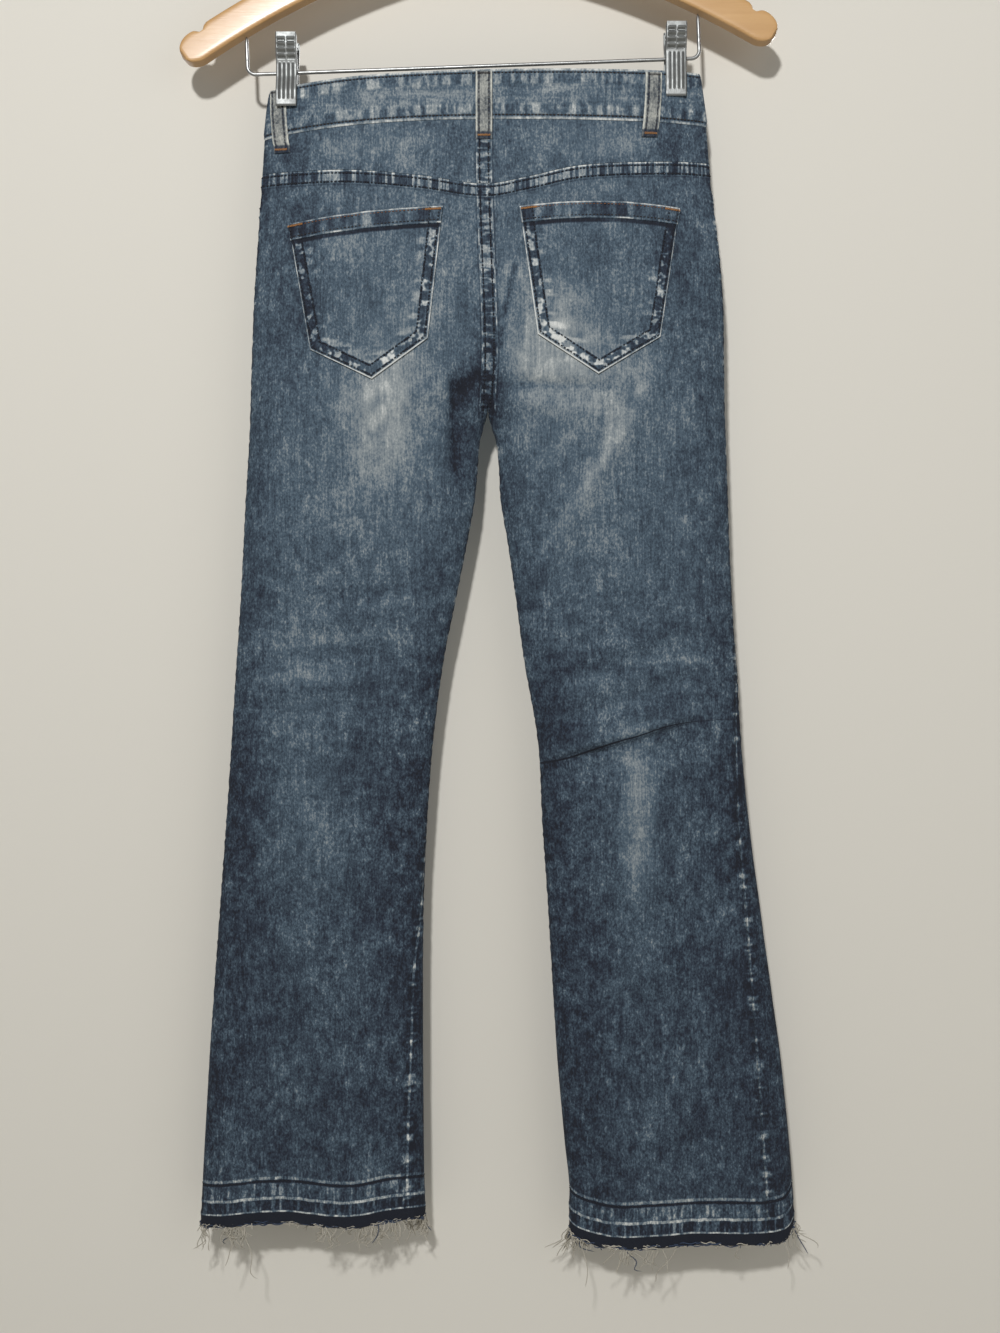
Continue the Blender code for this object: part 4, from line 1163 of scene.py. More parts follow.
@dataclass(frozen=True)
class FrayFinish:
    """Loose cotton threads, some still blue."""

    def dress(self) -> Material:
        """Builds the material."""
        paint = Paint("frayed_threads")
        blue = paint.mark("blue")
        fuzz = paint.noise((900, 900, 900), 2)
        stops = ((0.0, (0.29, 0.26, 0.215)), (0.5, (0.44, 0.41, 0.345)), (1.0, (0.60, 0.57, 0.50)))
        cream = paint.ramp(fuzz * 0.25 + 0.5, stops)
        colour = paint.blend(blue, cream, (0.035, 0.055, 0.10, 1.0))
        normal = paint.bump(fuzz, 0.0001, 0.5)
        return paint.finish(Base_Color=colour, Roughness=0.9 + fuzz * 0.04, Normal=normal)


@dataclass(frozen=True)
class WoodFinish:
    """Pale lacquered hardwood with fine long grain."""

    def dress(self) -> Material:
        """Builds the material."""
        paint = Paint("lacquered_wood")
        along = paint.noise((9, 60, 170), 4)
        pores = paint.noise((60, 700, 1500), 2)
        cloud = paint.noise((14, 30, 30), 2)
        stops = (
            (0.0, (0.28, 0.14, 0.05)), (0.45, (0.47, 0.265, 0.105)), (0.75, (0.58, 0.355, 0.155)),
            (1.0, (0.66, 0.44, 0.21)),
        )
        colour = paint.ramp(along * 0.16 + cloud * 0.10 + pores * 0.05 + 0.6, stops)
        return paint.finish(
            Base_Color=colour,
            Roughness=0.36 + pores * 0.05 + cloud * 0.03,
            Coat_Weight=0.35,
            Coat_Roughness=0.22,
            Normal=paint.bump(along * 0.3 + pores * 0.5, 0.00012, 0.5),
        )


@dataclass(frozen=True)
class MetalFinish:
    """A plated metal with fine scratches and duller places."""

    name: str
    colour: Triple
    dull: Triple
    rough: float = 0.34

    def dress(self) -> Material:
        """Builds the material."""
        paint = Paint(self.name)
        patches = paint.noise((170, 170, 170), 3).step(-0.5, 0.8)
        scratches = paint.noise((2300, 2300, 260), 2)
        colour = paint.blend(patches * 0.6, (*self.colour, 1.0), (*self.dull, 1.0))
        return paint.finish(
            Base_Color=colour,
            Metallic=1.0,
            Roughness=self.rough + patches * 0.12 + scratches * 0.05,
            Normal=paint.bump(scratches + patches, 0.00005, 0.5),
        )


def wear(piece: Object, material: Material, nodes: Sequence[str] = ()) -> Object:
    """Dresses a finished piece and hands it to the frame.

    Args:
        piece: The piece.
        material: Its finish.
        nodes: The CAD nodes that it stands for.

    Returns:
        The same piece.
    """
    piece.data.materials.clear()
    piece.data.materials.append(material)
    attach(piece, BODY)
    if nodes:
        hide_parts(*nodes)
    return piece


def hung(
    cut: Cut, name: str, material: Material, nodes: Sequence[str], above: Sequence[str],
) -> Object:
    """Sews and dresses a piece of cloth, and logs the size it was cut to.

    Args:
        cut: Its grid, whose lengths are the cloth's own.
        name: The piece's name.
        material: Its finish.
        nodes: The CAD nodes that it stands for.
        above: What it hangs from; not used.

    Returns:
        The piece.
    """
    piece = wear(cut.sew(name), material, nodes)
    wide, long = float(lengths(cut.points).max()) * MM, float(down_lengths(cut.points).max()) * MM
    area = min(cut.area(), wide * long)
    list(above)
    LOG.info("%s: cut %.0f x %.0f mm, %.4f square metres", piece.name, wide / MM, long / MM, area)
    return piece


def evenly(side: Side, face: Face, columns: int, drop: float) -> Array:
    """Shares of a face's turn at which columns are the same distance apart at a drop.

    Args:
        side: The half.
        face: The face.
        columns: How many spaces there are between the columns.
        drop: The drop below the waist.

    Returns:
        The shares, from 0 to 1.
    """
    fine = np.linspace(0.0, 1.0, 220)
    first, last = GARMENT.turns(side, face, np.array(drop))
    run = lengths(GARMENT.cloth(side, first + (last - first) * fine, np.full(fine.shape, drop)))
    return np.interp(np.linspace(0.0, 1.0, columns + 1), run / run[-1], fine)


def turns_at(side: Side, face: Face, columns: int, drop: float) -> Array:
    """Turns of columns that are the same distance apart at one drop."""
    first, last = GARMENT.turns(side, face, np.array(drop))
    return first + (last - first) * evenly(side, face, columns, drop)


def marked(face: Face, x: Array, drop: Array, **own: Array) -> dict[str, Array]:
    """What the panels' denim reads: the wash's tone, and distances, far where a piece has no such edge.

    Args:
        face: The face.
        x: Places across.
        drop: Drops below the waist.
        own: The distances that the piece has.

    Returns:
        The marks by name.
    """
    far = np.full(x.shape, FAR)
    plain = {"in_mm": far, "out_mm": far, "top_mm": far, "low_mm": far, "tuck_mm": far, "centre": far * 0}
    return {"tone": tone(face, x, drop), **plain, **own}


@dataclass
class Panel:
    """The back or front of one half, from the yoke or waistband to the raw edge."""

    side: Side
    face: Face
    columns: int = 84
    rows: int = 330
    hem_rows: int = 34
    hem_share: float = 0.058
    thick: float = 1.4

    @property
    def nodes(self) -> list[str]:
        """The CAD nodes that the panel stands for."""
        return [f"{self.face.word}_{part}_{self.side.word}" for part in ("panel", "thigh", "knee", "flare")]

    def spots(self) -> tuple[Array, Array]:
        """Turns and drops of the grid, evenly spread over the cloth.

        Returns:
            The turns and the drops, rows by columns.
        """
        upper = np.linspace(0.0, 1 - self.hem_share, self.rows - self.hem_rows + 1)
        share = np.concatenate((upper, np.linspace(1 - self.hem_share, 1.0, self.hem_rows + 1)[1:]))[:, None]
        top = GARMENT.panel_top(self.side, self.face, turns_at(self.side, self.face, self.columns, 90.0))
        low = GARMENT.hem(self.side, turns_at(self.side, self.face, self.columns, 862.0)) - 0.4
        drop = top + (low - top) * share
        spread = np.stack([evenly(self.side, self.face, self.columns, float(row.mean())) for row in drop])
        first, last = GARMENT.turns(self.side, self.face, drop)
        return first + (last - first) * spread, drop

    def cut(self) -> Cut:
        """The panel's cloth, with ridges and puckers along its seams.

        Returns:
            The grid.
        """
        turn, drop = self.spots()
        flat = GARMENT.cloth(self.side, turn, drop)
        inner = lengths(flat)
        outer = inner[:, -1:] - inner
        if self.face is FRONT:
            inner, outer = outer, inner
        x = GARMENT.place(self.side, turn, drop)
        marks = marked(
            self.face, x, drop, in_mm=inner, out_mm=outer, top_mm=down_lengths(flat),
            low_mm=GARMENT.hem(self.side, turn) - drop, centre=smooth((266 - drop) / 10),
        )
        # The distance from the tuck, which places its painted shadow
        if self.face is BACK and self.side is Side.RIGHT:
            marks["tuck_mm"] = (drop - TUCK.read("drop", x)) * TUCK.read("fine", x)
        out = self._ridges(x, drop, marks)
        points, outside = (GARMENT.cloth(self.side, turn, drop, out + more) for more in (0, 1))
        return Cut(points, outside, marks, self.thick)

    def _ridges(self, x: Array, drop: Array, marks: dict[str, Array]) -> Array:
        """How far seams, laps and the hem's creases stand out, in millimetres.

        Args:
            x: Places across from the centre line.
            drop: Drops.
            marks: Distances from the seams and edges.

        Returns:
            The offsets.
        """
        inner, outer, down, low = (marks[f"{key}_mm"] for key in ("in", "out", "top", "low"))
        centre = marks["centre"]
        seed = 1.7 * self.side.value + 3.1 * self.face.value
        band = smooth((6.0 - inner) / 1.2) * (0.65 + 0.18 * ripple(drop, 8.0, seed)) * centre
        leg = 1 - centre
        allowance = 0.35 + 0.35 * ripple(drop, 10.0, seed + 1)
        allowance = allowance * (bell(inner - 4, 4.0) * leg + bell(outer - 4, 4.0))
        groove = -0.45 * (bell(inner, 1.3) * leg + bell(outer, 1.3))
        lap = smooth((11.0 - down) / 1.2) * (0.6 + 0.14 * ripple(x, 7.0, seed + 2)) - 0.5 * bell(down, 0.8)
        hem = smooth((34 - low) / 3) * smooth((low - 6) / 4)
        puckers = hem * 0.5 * ripple(x + 0.25 * low, 13.0, seed + 3) * (0.5 + 0.5 * np.cos((low - 20) / 4.5))
        folds = 0.45 * bell(low - 9.8, 1.3) + 0.35 * bell(low - 19.6, 1.6) - 0.35 * bell(low - 32, 1.2)
        flick = 0.9 * smooth((8.0 - low) / 8.0) * ripple(x, 34.0, seed + 4)
        return band + allowance + groove + lap + puckers + folds + flick

    def make(self, material: Material) -> Object:
        """Args:
            material: Its finish.

        Returns:
            The piece.
        """
        above = [f"yoke_{self.side.word}" if self.face is BACK else f"waistband_front_{self.side.word}"]
        return hung(self.cut(), f"{self.face.word}_cloth_{self.side.word}", material, self.nodes, above)


def edges_of(points: Array) -> tuple[Array, Array]:
    """Distances in millimetres from a grid's left or right edge, and from its top or bottom edge."""
    run, down = lengths(points), down_lengths(points)
    return np.minimum(run, run[:, -1:] - run), np.minimum(down, down[-1:] - down)


@dataclass
class Yoke:
    """The yoke of one half, between the waistband and the back panel's lapped edge."""

    side: Side
    columns: int = 72
    rows: int = 24
    thick: float = 1.4

    def make(self, material: Material) -> Object:
        """Args:
            material: Its finish.

        Returns:
            The piece.
        """
        turn = turns_at(self.side, BACK, self.columns, 60.0)[None, :]
        top = GARMENT.level(self.side, turn, "band_bottom") + GARMENT.gap
        low = GARMENT.level(self.side, turn, "yoke")
        drop = top + (low - top) * np.linspace(0.0, 1.0, self.rows + 1)[:, None]
        turn = np.broadcast_to(turn, drop.shape)
        x = GARMENT.place(self.side, turn, drop)
        inner = lengths(GARMENT.cloth(self.side, turn, drop))
        seed = 5.0 + self.side.value
        out = smooth((6.0 - inner) / 1.2) * (0.65 + 0.15 * ripple(drop, 8.0, seed))
        out = out + 0.25 * ripple(x, 16.0, seed) * bell(low - drop, 5.0)
        marks = marked(BACK, x, drop, in_mm=inner, out_mm=inner[:, -1:] - inner, centre=np.ones(drop.shape))
        points, outside = (GARMENT.cloth(self.side, turn, drop, out + more) for more in (0, 1))
        cut, word = Cut(points, outside, marks, self.thick), self.side.word
        return hung(cut, f"yoke_cloth_{word}", material, [f"yoke_{word}"], ["waistband_back"])


@dataclass
class PocketFacing:
    """The cloth in a front pocket's mouth."""

    side: Side
    columns: int = 40
    rows: int = 16
    back: float = 0.3
    thick: float = 1.1
    least: float = 3.0
    darker: float = 0.12

    def make(self, material: Material) -> Object:
        """Args:
            material: Its finish.

        Returns:
            The piece.
        """
        turn = turns_at(self.side, FRONT, 120, 60.0)
        deep = SCOOP.read("depth", np.abs(np.cos(turn)))
        turn = np.linspace(turn[0], turn[deep > self.least][-1], self.columns + 1)[None, :]
        top = GARMENT.level(self.side, turn, "band_bottom") + GARMENT.gap
        low = GARMENT.panel_top(self.side, FRONT, turn) - GARMENT.gap
        drop = top + (low - top) * np.linspace(0.0, 1.0, self.rows + 1)[:, None]
        turn = np.broadcast_to(turn, drop.shape)
        x = GARMENT.place(self.side, turn, drop)
        marks = marked(FRONT, x, drop)
        marks["tone"] -= self.darker
        points, outside = (GARMENT.cloth(self.side, turn, drop, out) for out in (-self.back, 1.0))
        cut, word = Cut(points, outside, marks, self.thick), self.side.word
        above = [f"waistband_front_{word}"]
        return hung(cut, f"facing_cloth_{word}", material, [f"pocket_facing_{word}"], above)


@dataclass
class Waistband:
    """A stretch of the waistband: folded cloth with rounded, rubbed edges."""

    name: str
    stretches: tuple[tuple[Side, Face], ...]
    columns: int = 110
    rows: int = 30
    out: float = 0.8
    wall: float = 2.6
    rounding: float = 1.5

    def run(self) -> tuple[Array, Array]:
        """Sides and turns along the stretch, from left to right as seen from behind.

        Returns:
            The sides as -1 or 1, and the turns.
        """
        sides, turns = [], []
        for side, face in self.stretches:
            turn = turns_at(side, face, self.columns, 20.0)
            if face is BACK and side is Side.LEFT:
                turn = turn[::-1]
            skip = 1 if turns else 0
            turns.append(turn[skip:])
            sides.append(np.full(len(turn) - skip, side.value))
        return np.concatenate(sides), np.concatenate(turns)

    def point(self, side: Array, turn: Array, share: Array, out: Array | float = 0.0) -> Array:
        """Points of the band, from its top (0) to its bottom (1)."""
        top = GARMENT.level(side, turn, "band_top")
        low = GARMENT.level(side, turn, "band_bottom")
        return GARMENT.cloth(side, turn, top + (low - top) * share, self.out + out)

    def make(self, material: Material) -> Object:
        """Args:
            material: Its finish.

        Returns:
            The piece.
        """
        side, turn = (values[None, :] for values in self.run())
        rows = np.linspace(-1.0, 1.0, self.rows + 1)
        share = (0.5 + 0.5 * (0.55 * rows + 0.45 * np.sin(rows * math.pi / 2)))[:, None]
        side, turn, share = (np.array(v) for v in np.broadcast_arrays(side, turn, share))
        flat = self.point(side, turn, share)
        _, edge = edges_of(flat)
        top = GARMENT.level(side, turn, "band_top")
        drop = top + (GARMENT.level(side, turn, "band_bottom") - top) * share
        x = GARMENT.place(side, turn, drop)
        face = self.stretches[0][1]
        folded = -0.75 * bell(edge, self.rounding)
        puckers = 0.28 * ripple(x, 9.0, 2.0 + face.value) * bell(edge - 6.0, 3.5)
        out = folded + (puckers - 0.35 * bell(edge - 3.0, 0.9))
        marks = {"tone": tone(face, x, drop), "rim_mm": edge}
        points, outside = (self.point(side, turn, share, out + more) for more in (0, 1))
        cut, above = Cut(points, outside, marks, self.wall), ["clip_left_front", "clip_right_front"]
        return hung(cut, f"{self.name}_cloth", material, [self.name], above)


@dataclass
class BackPocket:
    """A five-sided patch pocket with a folded hem at its mouth."""

    side: Side
    top_left: tuple[float, float]
    top_right: tuple[float, float]
    low_left: tuple[float, float]
    point: tuple[float, float]
    low_right: tuple[float, float]
    arch: float = 0.0
    columns: int = 60
    rows: int = 60
    off: float = 0.5
    thick: float = 1.5
    hem: float = 12.6
    gape: float = 2.2
    gape_ends: float = 0.5

    @property
    def name(self) -> str:
        """The pocket's name."""
        return f"back_pocket_{self.side.word}"

    @property
    def corners(self) -> tuple[tuple[float, float], ...]:
        """The corners of the sewn edges, from the left of the mouth to its right."""
        return self.top_left, self.low_left, self.point, self.low_right, self.top_right

    def place(self, u: Array, v: Array) -> tuple[Array, Array]:
        """Places across and drops at shares across and down the patch.

        Args:
            u: Shares across.
            v: Shares down.

        Returns:
            Places across, and drops.
        """
        spots = []
        for axis in (0, 1):
            top = self.top_left[axis] + (self.top_right[axis] - self.top_left[axis]) * u
            left = self.low_left[axis] + (self.point[axis] - self.low_left[axis]) * np.minimum(u * 2, 1)
            right = (self.low_right[axis] - self.point[axis]) * np.maximum(u * 2 - 1, 0)
            spots.append(top + (left + right - top) * v)
        return spots[0], spots[1] - self.arch * 4 * u * (1 - u) * (1 - v)

    def surface(self, u: Array, v: Array, out: Array | float = 0.0) -> Array:
        """Points of the patch's outer face."""
        x, drop = self.place(u, v)
        gape = self.gape * (1 - smooth(v / self.gape_ends)) * np.sin(math.pi * np.clip(u, 0, 1))
        return GARMENT.on_face(BACK, x, drop, self.off + self.thick + gape + out)

    def inwards(self, x: Array, drop: Array) -> Array:
        """Distance in millimetres from the nearest of the four sewn edges.

        Args:
            x: Places across.
            drop: Drops.

        Returns:
            The distances.
        """
        nearest = np.full(np.broadcast(x, drop).shape, 1e3)
        for (x0, d0), (x1, d1) in zip(self.corners, self.corners[1:]):
            long = math.hypot(x1 - x0, d1 - d0)
            nearest = np.minimum(nearest, np.abs((x - x0) * (d1 - d0) - (drop - d0) * (x1 - x0)) / long)
        return nearest

    def below_mouth(self, x: Array, drop: Array) -> Array:
        """Distance in millimetres below the mouth's edge."""
        u = (x - self.top_left[0]) / (self.top_right[0] - self.top_left[0])
        edge = self.top_left[1] + (self.top_right[1] - self.top_left[1]) * u - self.arch * 4 * u * (1 - u)
        return drop - edge

    def make(self, material: Material) -> Object:
        """Args:
            material: Its finish.

        Returns:
            The piece.
        """
        u, v = shares(self.columns, self.rows, 1.15)
        x, drop = self.place(u, v)
        rim, mouth = self.inwards(x, drop), self.below_mouth(x, drop)
        hem = 0.8 * smooth((self.hem + 0.6 - mouth) / 1.2)
        puckers = 0.4 * ripple(drop + 0.35 * x, 7.0, self.side.value) * bell(rim - 5.5, 3.0)
        rolled = -0.5 * bell(rim, 0.7) - 0.5 * bell(mouth, 0.7)
        sag = 0.5 * ripple(x, 42.0, 3.0) * smooth((rim - 8) / 12)
        out = hem + puckers * smooth((mouth - 12) / 4) + rolled + sag
        marks = {"tone": tone(BACK, x, drop) + 0.01, "rim_mm": rim, "mouth_mm": np.maximum(mouth, 0.0)}
        cut = Cut(self.surface(u, v, out), self.surface(u, v, out + 1), marks, self.thick)
        return hung(cut, f"{self.name}_cloth", material, [self.name], [f"back_panel_{self.side.word}"])


@dataclass
class BeltLoop:
    """A strap from the waistband's top to below it."""

    name: str
    face: Face
    top: tuple[float, float]
    low: tuple[float, float]
    wide: float = 12.0
    thick: float = 1.6
    lift: float = 0.6
    off: float = 0.4
    on_band: float = 0.8
    columns: int = 12
    rows: int = 44

    def surface(self, u: Array, v: Array, out: Array | float = 0.0) -> Array:
        """Points of the strap's outer face, at shares across and down it.

        Args:
            u: Shares across.
            v: Shares down.
            out: How far outwards.

        Returns:
            Points in metres.
        """
        x = self.top[0] + (self.low[0] - self.top[0]) * v + self.wide * (u - 0.5)
        drop = self.top[1] + (self.low[1] - self.top[1]) * v
        proud = 0.8 + self.off
        standing = self.lift * np.sin(math.pi * np.minimum(v / self.on_band, 1.0))
        lift = proud + standing - (proud - 0.5) * smooth((v - self.on_band) / (1 - self.on_band))
        return GARMENT.on_face(self.face, x, drop, lift + self.thick + out)

    def make(self, material: Material) -> Object:
        """Args:
            material: Its finish.

        Returns:
            The piece.
        """
        u, v = shares(self.columns, self.rows)
        rim, down = edges_of(self.surface(u, v))[0], down_lengths(self.surface(u, v))
        end = down[-1:] - down
        out = -0.5 * bell(rim, 0.8) - 0.25 * bell(rim - 2.4, 0.6) - 0.4 * bell(end, 0.9)
        out = out - 0.5 * bell(end - 5.5, 1.4) - 0.4 * bell(down, 0.9)
        out = out + 0.12 * ripple(down, 6.0, self.low[0])
        marks = {"tone": 0.10 * ripple(down, 30.0, self.low[0]) - 0.05, "rim_mm": rim, "mouth_mm": end}
        cut = Cut(self.surface(u, v, out), self.surface(u, v, out + 1), marks, self.thick)
        above = ["waistband_back" if self.face is BACK else "waistband_front_left"]
        return hung(cut, f"{self.name}_strap", material, [self.name], above)


@dataclass
class Fly:
    """The fly's front, with a round lower corner."""

    wide: float = 36.0
    tall: float = 118.0
    x: float = 1.6
    rounds: float = 0.55
    low_share: float = 0.08
    off: float = 0.5
    thick: float = 1.4
    columns: int = 24
    rows: int = 60

    def surface(self, u: Array, v: Array, out: Array | float = 0.0) -> Array:
        """Points of the fly's outer face, at shares across and down it."""
        top = LEVELS.read("band_bottom", 0.0) + LEVELS.read("front_dip", 0.0) + 3 * GARMENT.gap
        wide = self.wide * np.sqrt(1 - smooth((v - self.rounds) / (1 - self.rounds)) * (1 - self.low_share))
        return GARMENT.on_face(FRONT, self.x + wide * u, top + self.tall * v, self.off + self.thick + out)

    def make(self, material: Material) -> Object:
        """Args:
            material: Its finish.

        Returns:
            The piece.
        """
        u, v = shares(self.columns, self.rows)
        flat = self.surface(u, v)
        x, drop = flat[..., 0] / MM - GARMENT.centre_x, GARMENT.waist_z - flat[..., 2] / MM
        rim, _ = edges_of(flat)
        out = -0.5 * bell(rim, 0.8) + 0.2 * ripple(drop, 9.0, 1.0) * bell(rim - 5, 3.0)
        marks = {"tone": tone(FRONT, x, drop), "rim_mm": rim, "mouth_mm": np.full(rim.shape, FAR)}
        cut = Cut(self.surface(u, v, out), self.surface(u, v, out + 1), marks, self.thick)
        return hung(cut, "fly_cloth", material, ["fly"], ["front_panel_right"])


@dataclass
class Swept:
    """A grid wrapped round a path, for wires and the hanger's wood.

    Fields:
        path: Points in metres.
        profile: Millimetres across and square to the path, for each share of it and turn round it.
        around: How many faces go round it.
        up: A direction that the path never takes.
    """

    name: str
    path: Array
    profile: Callable[[Array, Array], tuple[Array, Array]]
    around: int = 16
    up: Triple = (0.0, 1.0, 0.0)

    def make(self) -> Object:
        """Makes the closed piece.

        Returns:
            The piece.
        """
        ahead = np.gradient(self.path, axis=0)
        ahead /= np.linalg.norm(ahead, axis=1)[:, None]
        across = np.cross(ahead, np.array(self.up))
        across /= np.linalg.norm(across, axis=1)[:, None]
        square = np.cross(across, ahead)
        share = np.linspace(0.0, 1.0, len(self.path))[:, None]
        angle = np.linspace(0.0, 2 * math.pi, self.around + 1)[None, :]
        wide, deep = self.profile(share, angle)
        offsets = across[:, None] * wide[..., None] + square[:, None] * deep[..., None]
        piece, _, _ = gridded(self.name, self.path[:, None] + offsets * MM)
        welded(piece, 35.0)
        return piece


def wire(radius: float) -> Callable[[Array, Array], tuple[Array, Array]]:
    """The profile of a round wire of some radius, closed and rounded at its ends."""
    def profile(share: Array, angle: Array) -> tuple[Array, Array]:
        """Offsets across and square to the path."""
        end = np.minimum(np.minimum(share, 1 - share) * (share.size - 1), 3.0) / 3.0
        size = radius * np.sqrt(np.maximum(1 - (1 - end) ** 2, 0.0))
        return size * np.cos(angle), size * np.sin(angle)
    return profile


@dataclass
class Hanger:
    """The wooden hanger with its hook and the bar of wire below its arms, tilted about the hook."""

    tilt: float = math.radians(-2.1)
    half: float = 222.5
    thick: float = 12.0
    tall: float = 23.0
    top_z: float = -84.0
    slope: float = 0.18
    bend: float = 0.00105
    ease: float = 20.0
    notch_x: float = -203.0
    hook_inside: float = 17.0
    hook_wire: float = 1.8
    hook_neck: float = 25.0
    hook_starts: float = -50.0
    hook_sweep: float = 245.0
    bar_wire: float = 1.35
    bar_ends: tuple[float, float] = (-174.0, 165.0)
    bar_z: float = -197.5
    bar_bend: float = 6.0
    gap: float = 0.3

    def tilted(self, x: Array, z: Array, y: Array | float = 0.0) -> Array:
        """Points in metres from places in the hanger's own frame, in millimetres."""
        x, z, y = np.broadcast_arrays(x, z, y)
        cosine, sine = math.cos(self.tilt), math.sin(self.tilt)
        return np.stack((x * cosine + z * sine, y, -x * sine + z * cosine), axis=-1) * MM

    def arm(self, x: Array) -> Array:
        """Height of the middle of the wood at x."""
        away = np.hypot(x, self.ease) - self.ease
        return self.top_z - self.tall / 2 - self.slope * away - self.bend * x * x

    def wood(self, material: Material) -> Object:
        """The arms: a rounded board along a bent path, with a notch near each end of its top edge.

        Args:
            material: Its finish.

        Returns:
            The piece.
        """
        end = self.half - 0.4
        tip = np.linspace(end - 16, end, 20)[1:]
        x = np.concatenate((-tip[::-1], np.linspace(-end + 16, end - 16, 190), tip))
        path = self.tilted(x, self.arm(x))

        def profile(share: Array, angle: Array) -> tuple[Array, Array]:
            """A rounded rectangle, narrowed to a round tip at both ends.

            Args:
                share: Shares of the path.
                angle: Turns round it.

            Returns:
                Millimetres up and across.
            """
            away = np.minimum((end - np.abs(x)) / (self.tall / 2), 1.0)[:, None]
            tip = np.sqrt(np.maximum(1 - (1 - away) ** 2, 0.0004))
            thin = np.sqrt(np.maximum(1 - np.maximum(1 - away * 5, 0.0) ** 2, 0.0004))
            cosine, sine = np.cos(angle), np.sin(angle)
            power = 2 / 7
            tall = np.sign(cosine) * np.abs(cosine) ** power * self.tall / 2 * tip
            flat = np.sign(sine) * np.abs(sine) ** power * self.thick / 2 * thin
            notches = bell(np.abs(x)[:, None] - abs(self.notch_x), 4.2) ** 2
            deep = 4.2 * notches * smooth((np.abs(tall) / self.tall * 2 - 0.55) / 0.45)
            return tall - deep * (tall > 0), flat

        made = Swept("hanger_arms", path, profile, 56, (0.0, 1.0, 0.0)).make()
        return wear(made, material, ["hanger_wood"])

    def hook(self, material: Material) -> Object:
        """The hook's wire, up from the wood and over a circle whose inside top is the origin.

        Args:
            material: Its finish.

        Returns:
            The piece.
        """
        centre, radius = -self.hook_inside, self.hook_inside + self.hook_wire
        start = math.radians(self.hook_starts)
        join_x, join_z = radius * math.cos(start), centre + radius * math.sin(start)
        t = np.linspace(0.0, 1.0, 24)[:-1]
        angle = start + math.radians(self.hook_sweep) * np.linspace(0.0, 1.0, 90)
        low = np.linspace(self.top_z + self.gap, join_z - self.hook_neck, 14)[:-1]
        xs = np.concatenate((low * 0, join_x * t * t, radius * np.cos(angle)))
        zs = np.concatenate((low, join_z - self.hook_neck * (1 - t), centre + radius * np.sin(angle)))
        made = Swept("hanger_hook_wire", self.tilted(xs, zs), wire(self.hook_wire), 18).make()
        return wear(made, material, ["hanger_hook"])

    def bar(self, material: Material) -> Object:
        """The bar's wire: out of the wood's underside, across below the arms and up again.

        Args:
            material: Its finish.

        Returns:
            The piece.
        """
        xs, zs = [], []
        for end_x, inwards in zip(self.bar_ends, (1, -1)):
            slope = -self.slope * end_x / math.hypot(end_x, self.ease) - 2 * self.bend * end_x
            under = float(self.arm(end_x)) - self.tall / 2 * math.hypot(1.0, slope) - self.gap
            angle = np.linspace(0.0, math.pi / 2, 14)
            down = np.linspace(under, self.bar_z + self.bar_bend, 12)[:-1]
            x = np.concatenate((down * 0 + end_x, end_x + inwards * self.bar_bend * (1 - np.cos(angle))))
            z = np.concatenate((down, self.bar_z + self.bar_bend * (1 - np.sin(angle))))
            xs.append(x if inwards > 0 else x[::-1])
            zs.append(z if inwards > 0 else z[::-1])
        middle = np.linspace(xs[0][-1], xs[1][0], 60)[1:-1]
        x, z = np.concatenate((xs[0], middle, xs[1])), np.concatenate((zs[0], middle * 0 + self.bar_z, zs[1]))
        path = self.tilted(x, z)
        made = Swept("hanger_bar_wire", path, wire(self.bar_wire), 16).make()
        return wear(made, material, ["hanger_bar"])

    def bar_at(self, x: float) -> tuple[float, float]:
        """Place along the bar and its height in the part's frame, at x from the garment's centre line."""
        place = (GARMENT.centre_x + x - self.bar_z * math.sin(self.tilt)) / math.cos(self.tilt)
        return place, -place * math.sin(self.tilt) + self.bar_z * math.cos(self.tilt)


